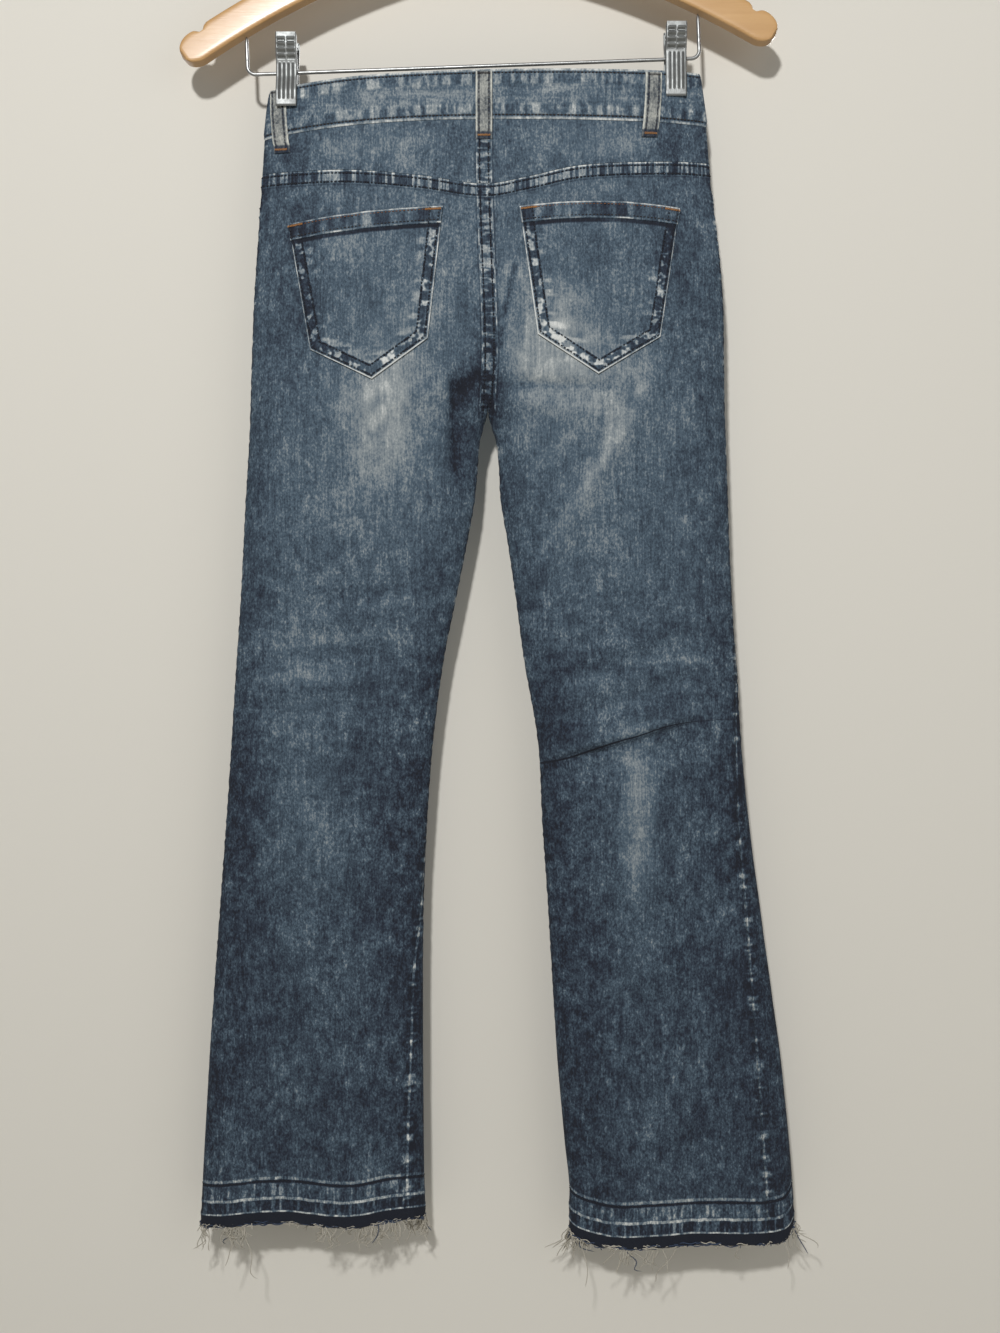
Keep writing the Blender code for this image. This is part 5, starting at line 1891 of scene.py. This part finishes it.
@dataclass
class Clip:
    """A pressed clip: two ribbed plates with turned sides and the spring between them, on the bar.

    Fields:
        middle: The clip's place across.
        drop_low: Drop of its lower edge.
        ribs: Places across of the ribs where it grips.
        dent_levels: Heights of the pressed dents above the lower edge.
        dent_places: Their places across.
    """

    side: Side
    middle: float
    drop_low: float
    front_grip: float
    rear_grip: float
    hanger: Hanger
    wide: float = 17.0
    tall: float = 54.0
    wall: float = 1.1
    flare: float = 9.4
    spring_outer: float = 4.5
    spring_wire: float = 0.65
    spring_long: float = 14.0
    spring_turns: int = 9
    turned: float = 2.6
    ribs: tuple[float, ...] = (-4.9, -1.65, 1.65, 4.9)
    dent_levels: tuple[float, ...] = (37.2, 41.2, 45.2, 49.2)
    dent_places: tuple[float, ...] = (-3.55, 3.55)

    def jaw(self, name: str, sign: int, grip: float, material: Material) -> Object:
        """One plate: flat where it grips, close to the spring at the bar and flared at its top.

        Args:
            name: The node that it stands for.
            sign: -1 for the plate in front, 1 for the one behind.
            grip: How far from the middle plane it grips.
            material: Its finish.

        Returns:
            The plate.
        """
        columns, rows = 52, 124
        low = GARMENT.waist_z - self.drop_low
        bar_up = self.hanger.bar_at(self.middle)[1] - low
        coil, near = self.spring_outer, self.spring_outer + 0.45
        heights = (0.0, self.tall * 0.22, bar_up - coil, bar_up + coil, self.tall * 0.8, self.tall)
        depths = (grip, grip, near, near, self.flare * 0.9, self.flare)
        up = np.linspace(0.0, self.tall, rows + 1)
        bent = np.interp(up, heights, depths)
        soft = np.array([1.0, 2.0, 3.0, 4.0, 3.0, 2.0, 1.0]) / 16
        bent = np.convolve(np.pad(bent, 3, mode="edge"), soft, mode="valid")
        face = self.wide - 2 * self.wall * 0.6
        run = np.linspace(-face / 2 - self.turned, face / 2 + self.turned, columns + 1)
        over = np.maximum(np.abs(run) - face / 2 + 1.0, 0.0)
        corner = np.minimum(over / 1.6, 1.0) * math.pi / 2
        across = np.sign(run) * (np.minimum(np.abs(run), face / 2 - 1.0) + 1.0 * np.sin(corner))
        back = 1.0 * (1 - np.cos(corner)) + np.maximum(over - 1.6, 0.0)
        x, z = np.broadcast_arrays(across[None, :], up[:, None])
        turned_in = back[None, :] * (1 - 0.75 * smooth((6.0 - z) / 6.0)) * smooth((self.tall - z + 0.5) / 3.0)
        out = bent[:, None] + self.wall - turned_in
        ribs = sum(bell(x - at, 0.62) for at in self.ribs)
        out = out + 0.85 * ribs * smooth((z - 4.5) / 1.5) * smooth((33.5 - z) / 1.5)
        for level in self.dent_levels:
            for at in self.dent_places:
                along = smooth((3.1 - np.abs(x - at)) / 0.7)
                out = out + along * (0.8 * bell(z - level - 0.55, 0.75) - 0.9 * bell(z - level + 1.05, 0.75))
        rounding = smooth(z / 1.2) * 0.6 - 0.6
        x = x * (1 - 0.05 * smooth((3.0 - z) / 3.0) - 0.05 * smooth((z - self.tall + 2.5) / 2.5))
        points = GARMENT.at(self.middle + x, sign * (out + rounding), GARMENT.waist_z - low - z)
        cut = Cut(points, points + np.array((0.0, sign * MM, 0.0)), thick=self.wall)
        return wear(cut.sew(f"{name}_plate"), material, [name])

    def spring(self, material: Material) -> Object:
        """The wound spring round the bar.

        Args:
            material: Its finish.

        Returns:
            The piece.
        """
        place, _ = self.hanger.bar_at(self.middle)
        t = np.linspace(0.0, 1.0, self.spring_turns * 26)
        angle = 2 * math.pi * self.spring_turns * t
        radius = self.spring_outer - self.spring_wire
        run = place + (t - 0.5) * (self.spring_long - 2 * self.spring_wire)
        path = self.hanger.tilted(run, self.hanger.bar_z + radius * np.sin(angle), radius * np.cos(angle))
        made = Swept(f"clip_{self.side.word}_coil", path, wire(self.spring_wire), 8, (1.0, 0.0, 0.0)).make()
        return wear(made, material, [f"clip_{self.side.word}_spring"])

    def make(self, zinc: Material, steel: Material) -> list[Object]:
        """Makes the whole clip.

        Args:
            zinc: The plates' finish.
            steel: The spring's finish.

        Returns:
            Its three pieces.
        """
        name = f"clip_{self.side.word}"
        return [
            self.jaw(f"{name}_front", -1, self.front_grip, zinc),
            self.jaw(f"{name}_rear", 1, self.rear_grip, zinc),
            self.spring(steel),
        ]


@dataclass
class WaistButton:
    """The shank button on the front of the waistband."""

    wide: float = 17.0
    x: float = 10.5
    down: float = 19.0
    off: float = 1.1
    steps: int = 64

    def make(self, material: Material) -> Object:
        """Makes the button: a turned profile with a dished face, a rolled rim and a ring of dots.

        Args:
            material: Its finish.

        Returns:
            The piece.
        """
        profile = np.array((
            (0.0, 2.9), (0.12, 2.9), (0.2, 2.75), (0.3, 2.72), (0.36, 2.5), (0.42, 2.45), (0.6, 2.45),
            (0.68, 2.5), (0.74, 2.75), (0.8, 3.15), (0.88, 3.2), (0.96, 3.0), (1.0, 2.5), (0.98, 1.9),
            (0.9, 1.6), (0.6, 1.45), (0.36, 1.3), (0.34, 0.8), (0.33, 0.0), (0.0, 0.0),
        ))
        radius, height = profile[:, :1], profile[:, 1:]
        drop = LEVELS.read("band_top", 0.0) + LEVELS.read("front_dip", 0.0) + self.down
        foot = GARMENT.on_face(FRONT, np.array(self.x), drop, self.off)
        angle = np.linspace(0.0, 2 * math.pi, self.steps + 1)
        r = radius * self.wide / 2
        dots = 0.28 * np.maximum(np.cos(angle * 24), 0.0)[None, :] * bell(radius - 0.51, 0.07)
        points = foot + np.stack((r * np.cos(angle), height + dots, r * np.sin(angle)), axis=-1) * MM
        piece, _, _ = gridded("shank_button", points)
        welded(piece, 45.0)
        return wear(piece, material, ["waist_button"])


def joined(name: str, points: Array, faces: Array, marks: dict[str, Array] | None = None) -> Object:
    """One mesh of many copies of a small shape.

    Args:
        name: The piece's name.
        points: The points of every copy, copies by points.
        faces: One copy's faces, as rows of four point numbers.
        marks: Numbers for the materials, one for each copy.

    Returns:
        The object.
    """
    copies, count = points.shape[:2]
    every = (faces[None] + (np.arange(copies) * count)[:, None, None]).reshape(-1, faces.shape[1])
    mesh = bpy.data.meshes.new(name)
    mesh.from_pydata(points.reshape(-1, 3), [], every.tolist())
    mesh.shade_smooth()
    piece = bpy.data.objects.new(name, mesh)
    bpy.context.scene.collection.objects.link(piece)
    for key, values in (marks or {}).items():
        add_mark(piece, key, np.repeat(values, count))
    return piece


def tube_faces(rings: int, around: int) -> Array:
    """Quads of a tube with its two ends closed to a point each by rings of no size."""
    ring, spot = np.meshgrid(np.arange(rings - 1), np.arange(around), indexing="ij")
    following = (spot + 1) % around
    a, b = ring * around + spot, ring * around + following
    return np.stack((a, b, b + around, a + around), axis=-1).reshape(-1, 4)


def along_line(points: Array, run: Array, places: Array | float) -> Array:
    """Points at running lengths along a line of points."""
    return np.stack([np.interp(places, run, points[:, axis]) for axis in range(3)], axis=-1)


@dataclass
class Seam:
    """Rows of stitches that lie on the cloth, made as one mesh."""

    name: str
    thread: Thread
    pitch: float = 2.7
    long: float = 1.75
    radius: float = 0.5
    sink: float = 0.05
    around: int = 5
    rows: list[tuple[Array, Array]] = field(default_factory=list)

    def add(self, surface: Callable[[float], Array]) -> None:
        """Adds a row of stitches: its points on a surface, and the same points a millimetre further out."""
        self.rows.append((surface(0.0), surface(1.0)))

    def make(self, materials: dict[Thread, Material], slot: str = "denim") -> Object:
        """Makes every stitch of the seam: a short thread that dips into the cloth at both ends.

        Args:
            materials: The finish of each thread.
            slot: The record's material slot; not used.

        Returns:
            The piece.
        """
        rings = np.array([-0.5, -0.46, -0.30, 0.0, 0.30, 0.46, 0.5])
        sizes = np.array([0.02, 0.6, 0.95, 1.0, 0.95, 0.6, 0.02])
        dips = np.array([-0.40, -0.24, 0.02, 0.10, 0.02, -0.24, -0.40])
        angle = np.arange(self.around) * 2 * math.pi / self.around
        shaker = random.Random(len(self.name) * 7 + len(self.rows))
        all_points = []
        for points, above in self.rows:
            run = lengths(points)
            count = max(int(run[-1] / self.pitch), 1)
            for n in range(count):
                centre = (n + 0.5) / count * run[-1] + shaker.uniform(-0.12, 0.12)
                half = self.long * shaker.uniform(0.46, 0.53)
                spots = along_line(points, run, np.array((centre - half, centre, centre + half)))
                top = along_line(above, run, centre)
                ahead = spots[2] - spots[0]
                out = top - spots[1]
                out = out / np.linalg.norm(out)
                along = ahead / np.linalg.norm(ahead)
                out = out - along * out.dot(along)
                out = out / np.linalg.norm(out)
                wide = np.cross(along, out)
                size = self.radius * shaker.uniform(0.9, 1.1) * MM
                lift = (self.radius * 0.55 - self.sink) * MM
                rise = np.outer(lift + dips * self.radius * 2.2 * MM, out)
                middles = spots[1] + np.outer(rings, ahead) + rise
                around = np.cos(angle)[:, None] * wide + np.sin(angle)[:, None] * out * 0.8
                tube = middles[:, None] + sizes[:, None, None] * size * around[None]
                all_points.append(tube.reshape(-1, 3))
        piece = joined(self.name, np.array(all_points), tube_faces(len(rings), self.around))
        return wear(piece, materials[self.thread])


@dataclass
class Fray:
    """The frayed edge of one leg: loose threads along it and hanging from it.

    Fields:
        in_tufts: Share of the hanging threads that hang in tufts.
        still_blue: Shares of blue threads, hanging and along the edge.
        longest: Shares round the leg and lengths of the longest threads.
    """

    side: Side
    seed: int
    threads: int = 230
    tufts: int = 17
    weft: int = 320
    steps: int = 12
    radius: float = 0.4
    in_tufts: float = 0.62
    still_blue: tuple[float, float] = (0.04, 0.45)
    longest: tuple[tuple[float, float], ...] = ()

    def _edge(self, share: Array, up: Array | float, out: Array | float) -> Array:
        """Points by the raw edge, at shares round the leg."""
        turn = share * 2 * math.pi
        return GARMENT.cloth(self.side, turn, GARMENT.hem(self.side, turn) - up, out)

    def make(self, material: Material) -> Object:
        """Makes the leg's fringe as one piece.

        Args:
            material: Its finish.

        Returns:
            The piece.
        """
        dice = np.random.default_rng(self.seed)
        places = (np.arange(self.threads) + dice.uniform(-0.9, 0.9, self.threads)) / self.threads % 1.0
        tuft = dice.random(self.threads) < self.in_tufts
        knots = np.sort(dice.random(self.tufts))[dice.integers(0, self.tufts, self.threads)]
        places = np.where(tuft, (knots + dice.normal(0.0, 0.006, self.threads)) % 1.0, places)
        long = dice.uniform(7.0, 23.0, self.threads)
        long = np.where(tuft, long, 1.0 + 3.5 * dice.random(self.threads) ** 2)
        places = np.concatenate((places, [turn for turn, _ in self.longest]))
        long = np.concatenate((long, [size for _, size in self.longest]))
        count = len(places)
        t = np.linspace(0.0, 1.0, self.steps)[None, :]
        root = self._edge(places, 1.6, dice.uniform(-1.2, -0.2, count))[:, None]
        lean = dice.normal(0.0, 0.34, (count, 1))
        curl = dice.uniform(0.5, 3.0, (count, 1)) * np.minimum(long / 8, 1.8)[:, None]
        phase, waves = dice.uniform(0, 6.3, (count, 1)), dice.uniform(0.5, 1.4, (count, 1))
        x = lean * long[:, None] * t + curl * (np.sin(phase + waves * 6.3 * t) - np.sin(phase)) * t
        y = 0.6 * curl * (np.cos(phase + waves * 5.0 * t) - np.cos(phase)) * t
        y = y + dice.normal(0, 0.08, (count, 1)) * long[:, None] * t
        z = -(long[:, None] + 1.6) * t * (1 - 0.12 * curl / 2 * t)
        hanging = root + np.stack((x, y, z), axis=-1) * MM
        edge = self._weft(dice)
        pieces = np.concatenate((hanging, edge))
        hung_blue, edge_blue = self.still_blue
        blue = np.concatenate((dice.random(count) < hung_blue, dice.random(len(edge)) < edge_blue))
        name, faces = f"fringe_{self.side.word}", tube_faces(self.steps, 3)
        made = joined(name, self._tubes(pieces), faces, {"blue": blue.astype(float)})
        return wear(made, material, [f"raw_edge_{self.side.word}"])

    def _weft(self, dice: np.random.Generator) -> Array:
        """Short loose threads that run along the raw edge.

        Args:
            dice: The seeded source of chance.

        Returns:
            Their points, threads by steps.
        """
        size = (self.weft, 1)
        start, wide = dice.random(size), dice.uniform(0.012, 0.03, size)
        t = np.linspace(0.0, 1.0, self.steps)[None, :]
        up = dice.uniform(-0.4, 2.4, size) + 0.5 * np.sin(dice.uniform(0, 6.3, size) + 7 * t)
        out = dice.uniform(-1.3, 0.35, size) + 0.25 * np.sin(dice.uniform(0, 6.3, size) + 9 * t)
        return self._edge((start + wide * t) % 1.0, up, out)

    def _tubes(self, paths: Array) -> Array:
        """Three-sided tubes along the threads' paths.

        Args:
            paths: Threads by steps.

        Returns:
            The tubes' points, threads by points.
        """
        ahead = np.gradient(paths, axis=1)
        ahead /= np.maximum(np.linalg.norm(ahead, axis=-1, keepdims=True), 1e-9)
        wide = np.cross(ahead, np.array((0.31, 0.9, 0.3)))
        wide /= np.maximum(np.linalg.norm(wide, axis=-1, keepdims=True), 1e-9)
        deep = np.cross(ahead, wide)
        size = np.full(self.steps, self.radius * MM)
        size[[0, -2, -1]] *= (0.03, 0.75, 0.03)
        rings = []
        for n in range(3):
            angle = 2 * math.pi * n / 3
            rings.append(paths + (math.cos(angle) * wide + math.sin(angle) * deep) * size[None, :, None])
        return np.stack(rings, axis=2).reshape(len(paths), -1, 3)


@dataclass
class Stitching:
    """All rows of stitches on the garment, seam by seam.

    Fields:
        apart: Distance between the twin rows of the centre seam.
        hem_up: Height of the old hem's row above the raw edge.
        tack: How many stitches a tack has on a pocket and on a loop.
    """

    pockets: Sequence[BackPocket]
    loops: Sequence[BeltLoop]
    fly: Fly
    apart: float = 6.6
    hem_up: float = 32.0
    tack: tuple[int, int] = (17, 13)
    samples: int = 160

    def centre(self) -> Seam:
        """The twin rows of the centre seam, on both faces.

        Returns:
            The seam.
        """
        seam = Seam("stitches_centre_back", Thread.NAVY)
        for face, first in ((BACK, 58.0), (FRONT, 176.0)):
            drop = np.linspace(first, 258.0, self.samples)
            for side in (-1, 1):
                x = OUTLINE.read("left_in", drop) + side * self.apart / 2
                seam.add(lambda out: GARMENT.on_face(face, x, drop, 0.62 + out))
        return seam

    def tops(self, name: str, face: Face, rows: tuple[float, float]) -> Seam:
        """The twin rows below a face's top edges: along the yoke seam, or the front pockets' mouths.

        Args:
            name: The seam's name.
            face: The face.
            rows: How far below the edge the rows are.

        Returns:
            The seam.
        """
        seam = Seam(name, Thread.NAVY)
        for side in Side:
            turn = turns_at(side, face, self.samples, 90.0)
            scooped = SCOOP.read("depth", np.abs(np.cos(turn))) > 0.8
            turn = turn[1:-1] if face is BACK else turn[scooped]
            for down in rows:
                drop = GARMENT.panel_top(side, face, turn) + down
                seam.add(lambda out: GARMENT.cloth(side, turn, drop, 0.6 + out))
        return seam

    def band(self, stretches: Sequence[Waistband]) -> Seam:
        """The rows along both edges of the waistband.

        Args:
            stretches: The waistband's stretches.

        Returns:
            The seam.
        """
        seam = Seam("stitches_waistband", Thread.BROWN)
        for band in stretches:
            side, turn = band.run()
            side, turn = side[2:-2], turn[2:-2]
            for share in (0.078, 0.922):
                seam.add(lambda out: band.point(side, turn, np.full(turn.shape, share), out - 0.25))
        return seam

    def hems(self) -> Seam:
        """The row of the old hem round each leg.

        Returns:
            The seam.
        """
        seam = Seam("stitches_hems", Thread.NAVY, radius=0.3)
        turn = np.linspace(0.0, 2 * math.pi, 2 * self.samples)
        for side in Side:
            drop = GARMENT.hem(side, turn) - self.hem_up
            seam.add(lambda out: GARMENT.cloth(side, turn, drop, out - 0.1))
        return seam

    def _on_pocket(self, pocket: BackPocket, x: Array, drop: Array, out: float) -> Array:
        """Points on a pocket at places across and drops.

        Args:
            pocket: The pocket.
            x: Places across.
            drop: Drops.
            out: How far outwards.

        Returns:
            Points in metres.
        """
        even = np.linspace(0, 1, 121)
        u, v = (share.ravel() for share in np.meshgrid(even, even, indexing="ij"))
        grid_x, grid_drop = pocket.place(u, v)
        nearest = ((grid_x - x[:, None]) ** 2 + (grid_drop - drop[:, None]) ** 2).argmin(axis=1)
        u, v = u[nearest], v[nearest]
        gape = pocket.gape * (1 - smooth(v / pocket.gape_ends)) * np.sin(math.pi * u)
        hem = 0.8 * smooth((pocket.hem + 0.6 - pocket.below_mouth(x, drop)) / 1.2)
        return GARMENT.on_face(BACK, x, drop, pocket.off + pocket.thick + gape + hem + out)

    def _inset(self, pocket: BackPocket, inwards: float) -> tuple[Array, Array]:
        """Places and drops of a line inside the four sewn edges, from the left of the mouth to its right.

        Args:
            pocket: The pocket.
            inwards: The line's distance from the edges.

        Returns:
            Places across and drops.
        """
        corners = [np.array(corner) for corner in pocket.corners]
        starts, aheads = [], []
        for here, following in zip(corners, corners[1:]):
            ahead = (following - here) / np.linalg.norm(following - here)
            starts.append(here + np.array((ahead[1], -ahead[0])) * inwards)
            aheads.append(ahead)
        line = [starts[0] + aheads[0] * 1.5]
        for n in range(3):
            cross = np.linalg.solve(np.stack((aheads[n], -aheads[n + 1]), axis=1), starts[n + 1] - starts[n])
            line.append(starts[n] + aheads[n] * cross[0])
        line.append(starts[3] + aheads[3] * (np.linalg.norm(corners[4] - corners[3]) - 1.5))
        spots = np.array(line)
        run = np.concatenate(([0.0], np.cumsum(np.linalg.norm(np.diff(spots, axis=0), axis=1))))
        at = np.linspace(0.0, run[-1], 3 * self.samples)
        return np.interp(at, run, spots[:, 0]), np.interp(at, run, spots[:, 1])

    def pocket_rows(self) -> list[Seam]:
        """The twin rows round each back pocket, and the rows along its mouth.

        Returns:
            The seams.
        """
        seams = []
        for pocket in self.pockets:
            word = pocket.side.word
            sides = Seam(f"stitches_pocket_{word}", Thread.NAVY)
            for inwards in (2.1, 8.6):
                x, drop = self._inset(pocket, inwards)
                sides.add(lambda out: self._on_pocket(pocket, x, drop, out))
            seams.append(sides)
            x = np.linspace(pocket.top_left[0] + 2.0, pocket.top_right[0] - 2.0, self.samples)
            for name, thread, down in (("mouth", Thread.RUST, 2.2), ("pocket_hem", Thread.BROWN, 10.4)):
                drop = x * 0 + down + (x * 0 - pocket.below_mouth(x, x * 0))
                row = Seam(f"stitches_{name}_{word}", thread, radius=0.34)
                row.add(lambda out: self._on_pocket(pocket, x, drop, out))
                seams.append(row)
        return seams

    def tacks(self) -> list[Seam]:
        """The dense tacks at the pockets' top corners and at the loops' ends.

        Returns:
            The seams.
        """
        corners = Seam("tacks_pockets", Thread.ORANGE, radius=0.32)
        for pocket in self.pockets:
            for start in (pocket.top_left[0] + 1.2, pocket.top_right[0] - 12.2):
                for n in range(self.tack[0]):
                    x = np.full(2, start + n * 0.69)
                    edge = -pocket.below_mouth(x, x * 0)
                    drop = edge + np.array((1.0, 3.4))
                    corners.add(lambda out: self._on_pocket(pocket, x, drop, out + 0.3))
        ends = Seam("tacks_loops", Thread.ORANGE, radius=0.32)
        darker = Seam("tacks_loops_upper", Thread.BROWN, radius=0.32)
        for loop in self.loops:
            for seam, level in ((ends, (0.925, 0.972)), (darker, (0.018, 0.060))):
                for n in range(self.tack[1]):
                    u, v = np.full(2, 0.14 + n * 0.06), np.array(level)
                    seam.add(lambda out: loop.surface(u, v, out + 0.05))
        return [corners, ends, darker]

    def loop_rows(self) -> Seam:
        """The two rows along each belt loop.

        Returns:
            The seam.
        """
        seam = Seam("stitches_loops", Thread.BROWN, radius=0.32)
        v = np.linspace(0.07, 0.90, self.samples)
        for loop in self.loops:
            for share in (0.2, 0.8):
                seam.add(lambda out: loop.surface(np.full(v.shape, share), v, out - 0.2))
        return seam

    def fly_rows(self) -> Seam:
        """The curved twin rows of the fly.

        Returns:
            The seam.
        """
        seam = Seam("stitches_fly", Thread.NAVY)
        v = np.linspace(0.01, 0.97, self.samples)
        for share in (0.78, 0.95):
            seam.add(lambda out: self.fly.surface(np.full(v.shape, share), v, out))
        return seam


@dataclass
class Studio:
    """The camera at the photograph's place, a pale floor and wall, and soft light."""

    eye: Triple = (0.0225, -1.05, -0.6476)
    lens: float = 37.8
    wall_y: float = 0.031
    floor_z: float = -1.42
    wall_colour: Triple = (0.66, 0.635, 0.575)
    sky_colour: tuple[float, float, float, float] = (0.93, 0.93, 0.92, 1.0)
    sky_strength: float = 0.25

    def camera(self) -> None:
        """Places the camera, level and square to the garment."""
        made = bpy.data.cameras.new("camera")
        made.lens, made.sensor_width = self.lens, 36.0
        placed = bpy.data.objects.new("camera", made)
        placed.location, placed.rotation_euler = self.eye, (math.pi / 2, 0.0, 0.0)
        bpy.context.scene.collection.objects.link(placed)
        bpy.context.scene.camera = placed

    def surfaces(self) -> None:
        """Makes the floor, and the wall, which is clear from behind."""
        for name, size, at, turn in (
            ("studio_floor", 12.0, (0.0, 0.0, self.floor_z), 0.0),
            ("studio_wall", 3.2, (0.0, self.wall_y, self.floor_z + 1.6), math.pi / 2),
        ):
            unselect()
            bpy.ops.mesh.primitive_plane_add(size=size, location=at, rotation=(turn, 0.0, 0.0))
            made = bpy.context.active_object
            made.name = name
            paint = Paint(name)
            paint.finish(Base_Color=(*self.wall_colour, 1.0), Roughness=0.95)
            if name == "studio_wall":
                behind = paint.node("ShaderNodeNewGeometry", output="Backfacing")
                clear = paint.node("ShaderNodeBsdfTransparent")
                front = Val(paint, paint.shader.outputs["BSDF"])
                both = paint.node("ShaderNodeMixShader", {}, {0: behind, 1: front, 2: clear})
                paint.tree.links.new(both.socket, paint.tree.nodes["Material Output"].inputs["Surface"])
                for ray in ("diffuse", "glossy", "transmission", "shadow"):
                    setattr(made, f"visible_{ray}", False)
            made.data.materials.append(paint.material)

    def light(self, name: str, at: tuple[float, ...], aim_z: float, size: float, power: float) -> None:
        """Adds a soft square light.

        Args:
            name: Its name.
            at: Its place.
            aim_z: The height that it faces, on the Z axis.
            size: Its side in metres.
            power: Its power in watts.
        """
        made = bpy.data.lights.new(name, "AREA")
        made.size, made.energy = size, power
        placed = bpy.data.objects.new(name, made)
        x, y, z = at
        placed.location = at
        placed.rotation_euler = (math.atan2(math.hypot(x, y), z - aim_z), 0.0, math.atan2(x, -y))
        bpy.context.scene.collection.objects.link(placed)

    def build(self) -> None:
        """Sets up the whole studio."""
        self.camera()
        self.surfaces()
        for name, at, aim_z, size, power in (
            ("key", (-0.32, -2.0, 0.55), -0.40, 0.14, 38.0), ("fill", (1.5, -1.6, -0.3), -0.5, 1.6, 5.0),
            ("rear_key", (0.9, 2.0, 0.7), -0.55, 1.0, 26.0), ("rear_fill", (-1.5, 1.7, -0.6), -0.6, 1.6, 5.0),
        ):
            self.light(name, at, aim_z, size, power)
        world = bpy.data.worlds.new("studio")
        world.use_nodes = True
        sky = world.node_tree.nodes["Background"].inputs
        sky["Color"].default_value, sky["Strength"].default_value = self.sky_colour, self.sky_strength
        bpy.context.scene.world = world
        bpy.context.scene.view_settings.view_transform = "Standard"


def report(name: str, pieces: Object | Sequence[Object]) -> None:
    """Logs what a class has made."""
    several = [pieces] if isinstance(pieces, Object) else pieces
    LOG.info("%s: %d pieces, %d faces", name, len(several), sum(len(p.data.polygons) for p in several))


def main() -> None:
    """Builds the garment and its hanger, class by class, then the studio."""
    logging.basicConfig(level=logging.INFO, format="%(name)s: %(message)s")
    panel, plain = PanelDenim("panel_denim").dress(), PanelDenim("yoke_denim").dress()
    patch, band = PatchDenim("pocket_denim").dress(), BandDenim("waistband_denim").dress()
    strap = LoopDenim("loop_denim").dress()
    threads = {thread: ThreadFinish(thread).dress() for thread in Thread}
    steel = MetalFinish("plated_wire", (0.36, 0.365, 0.36), (0.22, 0.22, 0.215), 0.36).dress()
    zinc = MetalFinish("pressed_zinc", (0.28, 0.29, 0.285), (0.17, 0.17, 0.165), 0.48).dress()
    brass = MetalFinish("aged_brass", (0.46, 0.33, 0.18), (0.20, 0.13, 0.07), 0.38).dress()
    wood, fray = WoodFinish().dress(), FrayFinish().dress()

    finer = {BACK: 84, FRONT: 62}
    report("panels", [Panel(side, face, finer[face]).make(panel) for side in Side for face in Face])
    report("yokes", [Yoke(side).make(plain) for side in Side])
    report("facings", [PocketFacing(side).make(plain) for side in Side])
    bands = [
        Waistband("waistband_back", ((Side.LEFT, BACK), (Side.RIGHT, BACK))),
        Waistband("waistband_front_left", ((Side.LEFT, FRONT),)),
        Waistband("waistband_front_right", ((Side.RIGHT, FRONT),)),
    ]
    report("waistband", [stretch.make(band) for stretch in bands])
    pockets = [BackPocket(side, *corners, arch) for side, corners, arch in (
        (Side.LEFT, ((-146.3, 119.3), (-32.4, 107.7), (-129.8, 213.4), (-84.6, 236.0), (-43.2, 206.0)), 1.2),
        (Side.RIGHT, ((23.6, 107.9), (141.4, 107.3), (37.0, 203.0), (81.7, 232.2), (126.9, 204.0)), 3.4),
    )]
    report("back pockets", [pocket.make(patch) for pocket in pockets])
    loops = [
        BeltLoop("belt_loop_back", BACK, (-2.4, 5.0), (-2.4, 56.2)),
        BeltLoop("belt_loop_side_left", BACK, (-154.4, 16.8), (-151.6, 64.5)),
        BeltLoop("belt_loop_side_right", BACK, (122.4, 4.6), (119.8, 53.3)),
        BeltLoop("belt_loop_front_left", FRONT, (-86.0, 12.6), (-88.0, 60.5)),
        BeltLoop("belt_loop_front_right", FRONT, (86.0, 9.4), (88.0, 57.5)),
    ]
    report("belt loops", [loop.make(strap) for loop in loops])
    fly = Fly()
    report("fly", fly.make(patch))
    report("button", WaistButton().make(brass))
    stitching = Stitching(pockets, loops, fly)
    seams = [
        stitching.centre(), stitching.tops("stitches_yoke", BACK, (2.4, 9.0)), stitching.band(bands),
        stitching.tops("stitches_front_pockets", FRONT, (2.2, 8.6)), stitching.hems(),
        *stitching.pocket_rows(), *stitching.tacks(), stitching.loop_rows(), stitching.fly_rows(),
    ]
    report("stitches", [seam.make(threads, "loops" if "loops" in seam.name else "denim") for seam in seams])
    report("frayed edges", [
        Fray(Side.LEFT, 11, longest=((0.355, 52.0), (0.36, 34.0), (0.20, 24.0), (0.12, 22.0))).make(fray),
        Fray(Side.RIGHT, 12, longest=((0.065, 44.0), (0.24, 38.0), (0.42, 26.0), (0.33, 20.0))).make(fray),
    ])
    hanger = Hanger()
    report("hanger", [hanger.wood(wood), hanger.hook(steel), hanger.bar(steel)])
    for side, *places in ((Side.LEFT, -149.8, 30.0, 7.6, 6.0), (Side.RIGHT, 140.9, 22.0, 6.3, 6.3)):
        report(f"{side.word} clip", Clip(side, *places, hanger).make(zinc, steel))
    Studio().build()


if __name__ == "__main__":
    main()
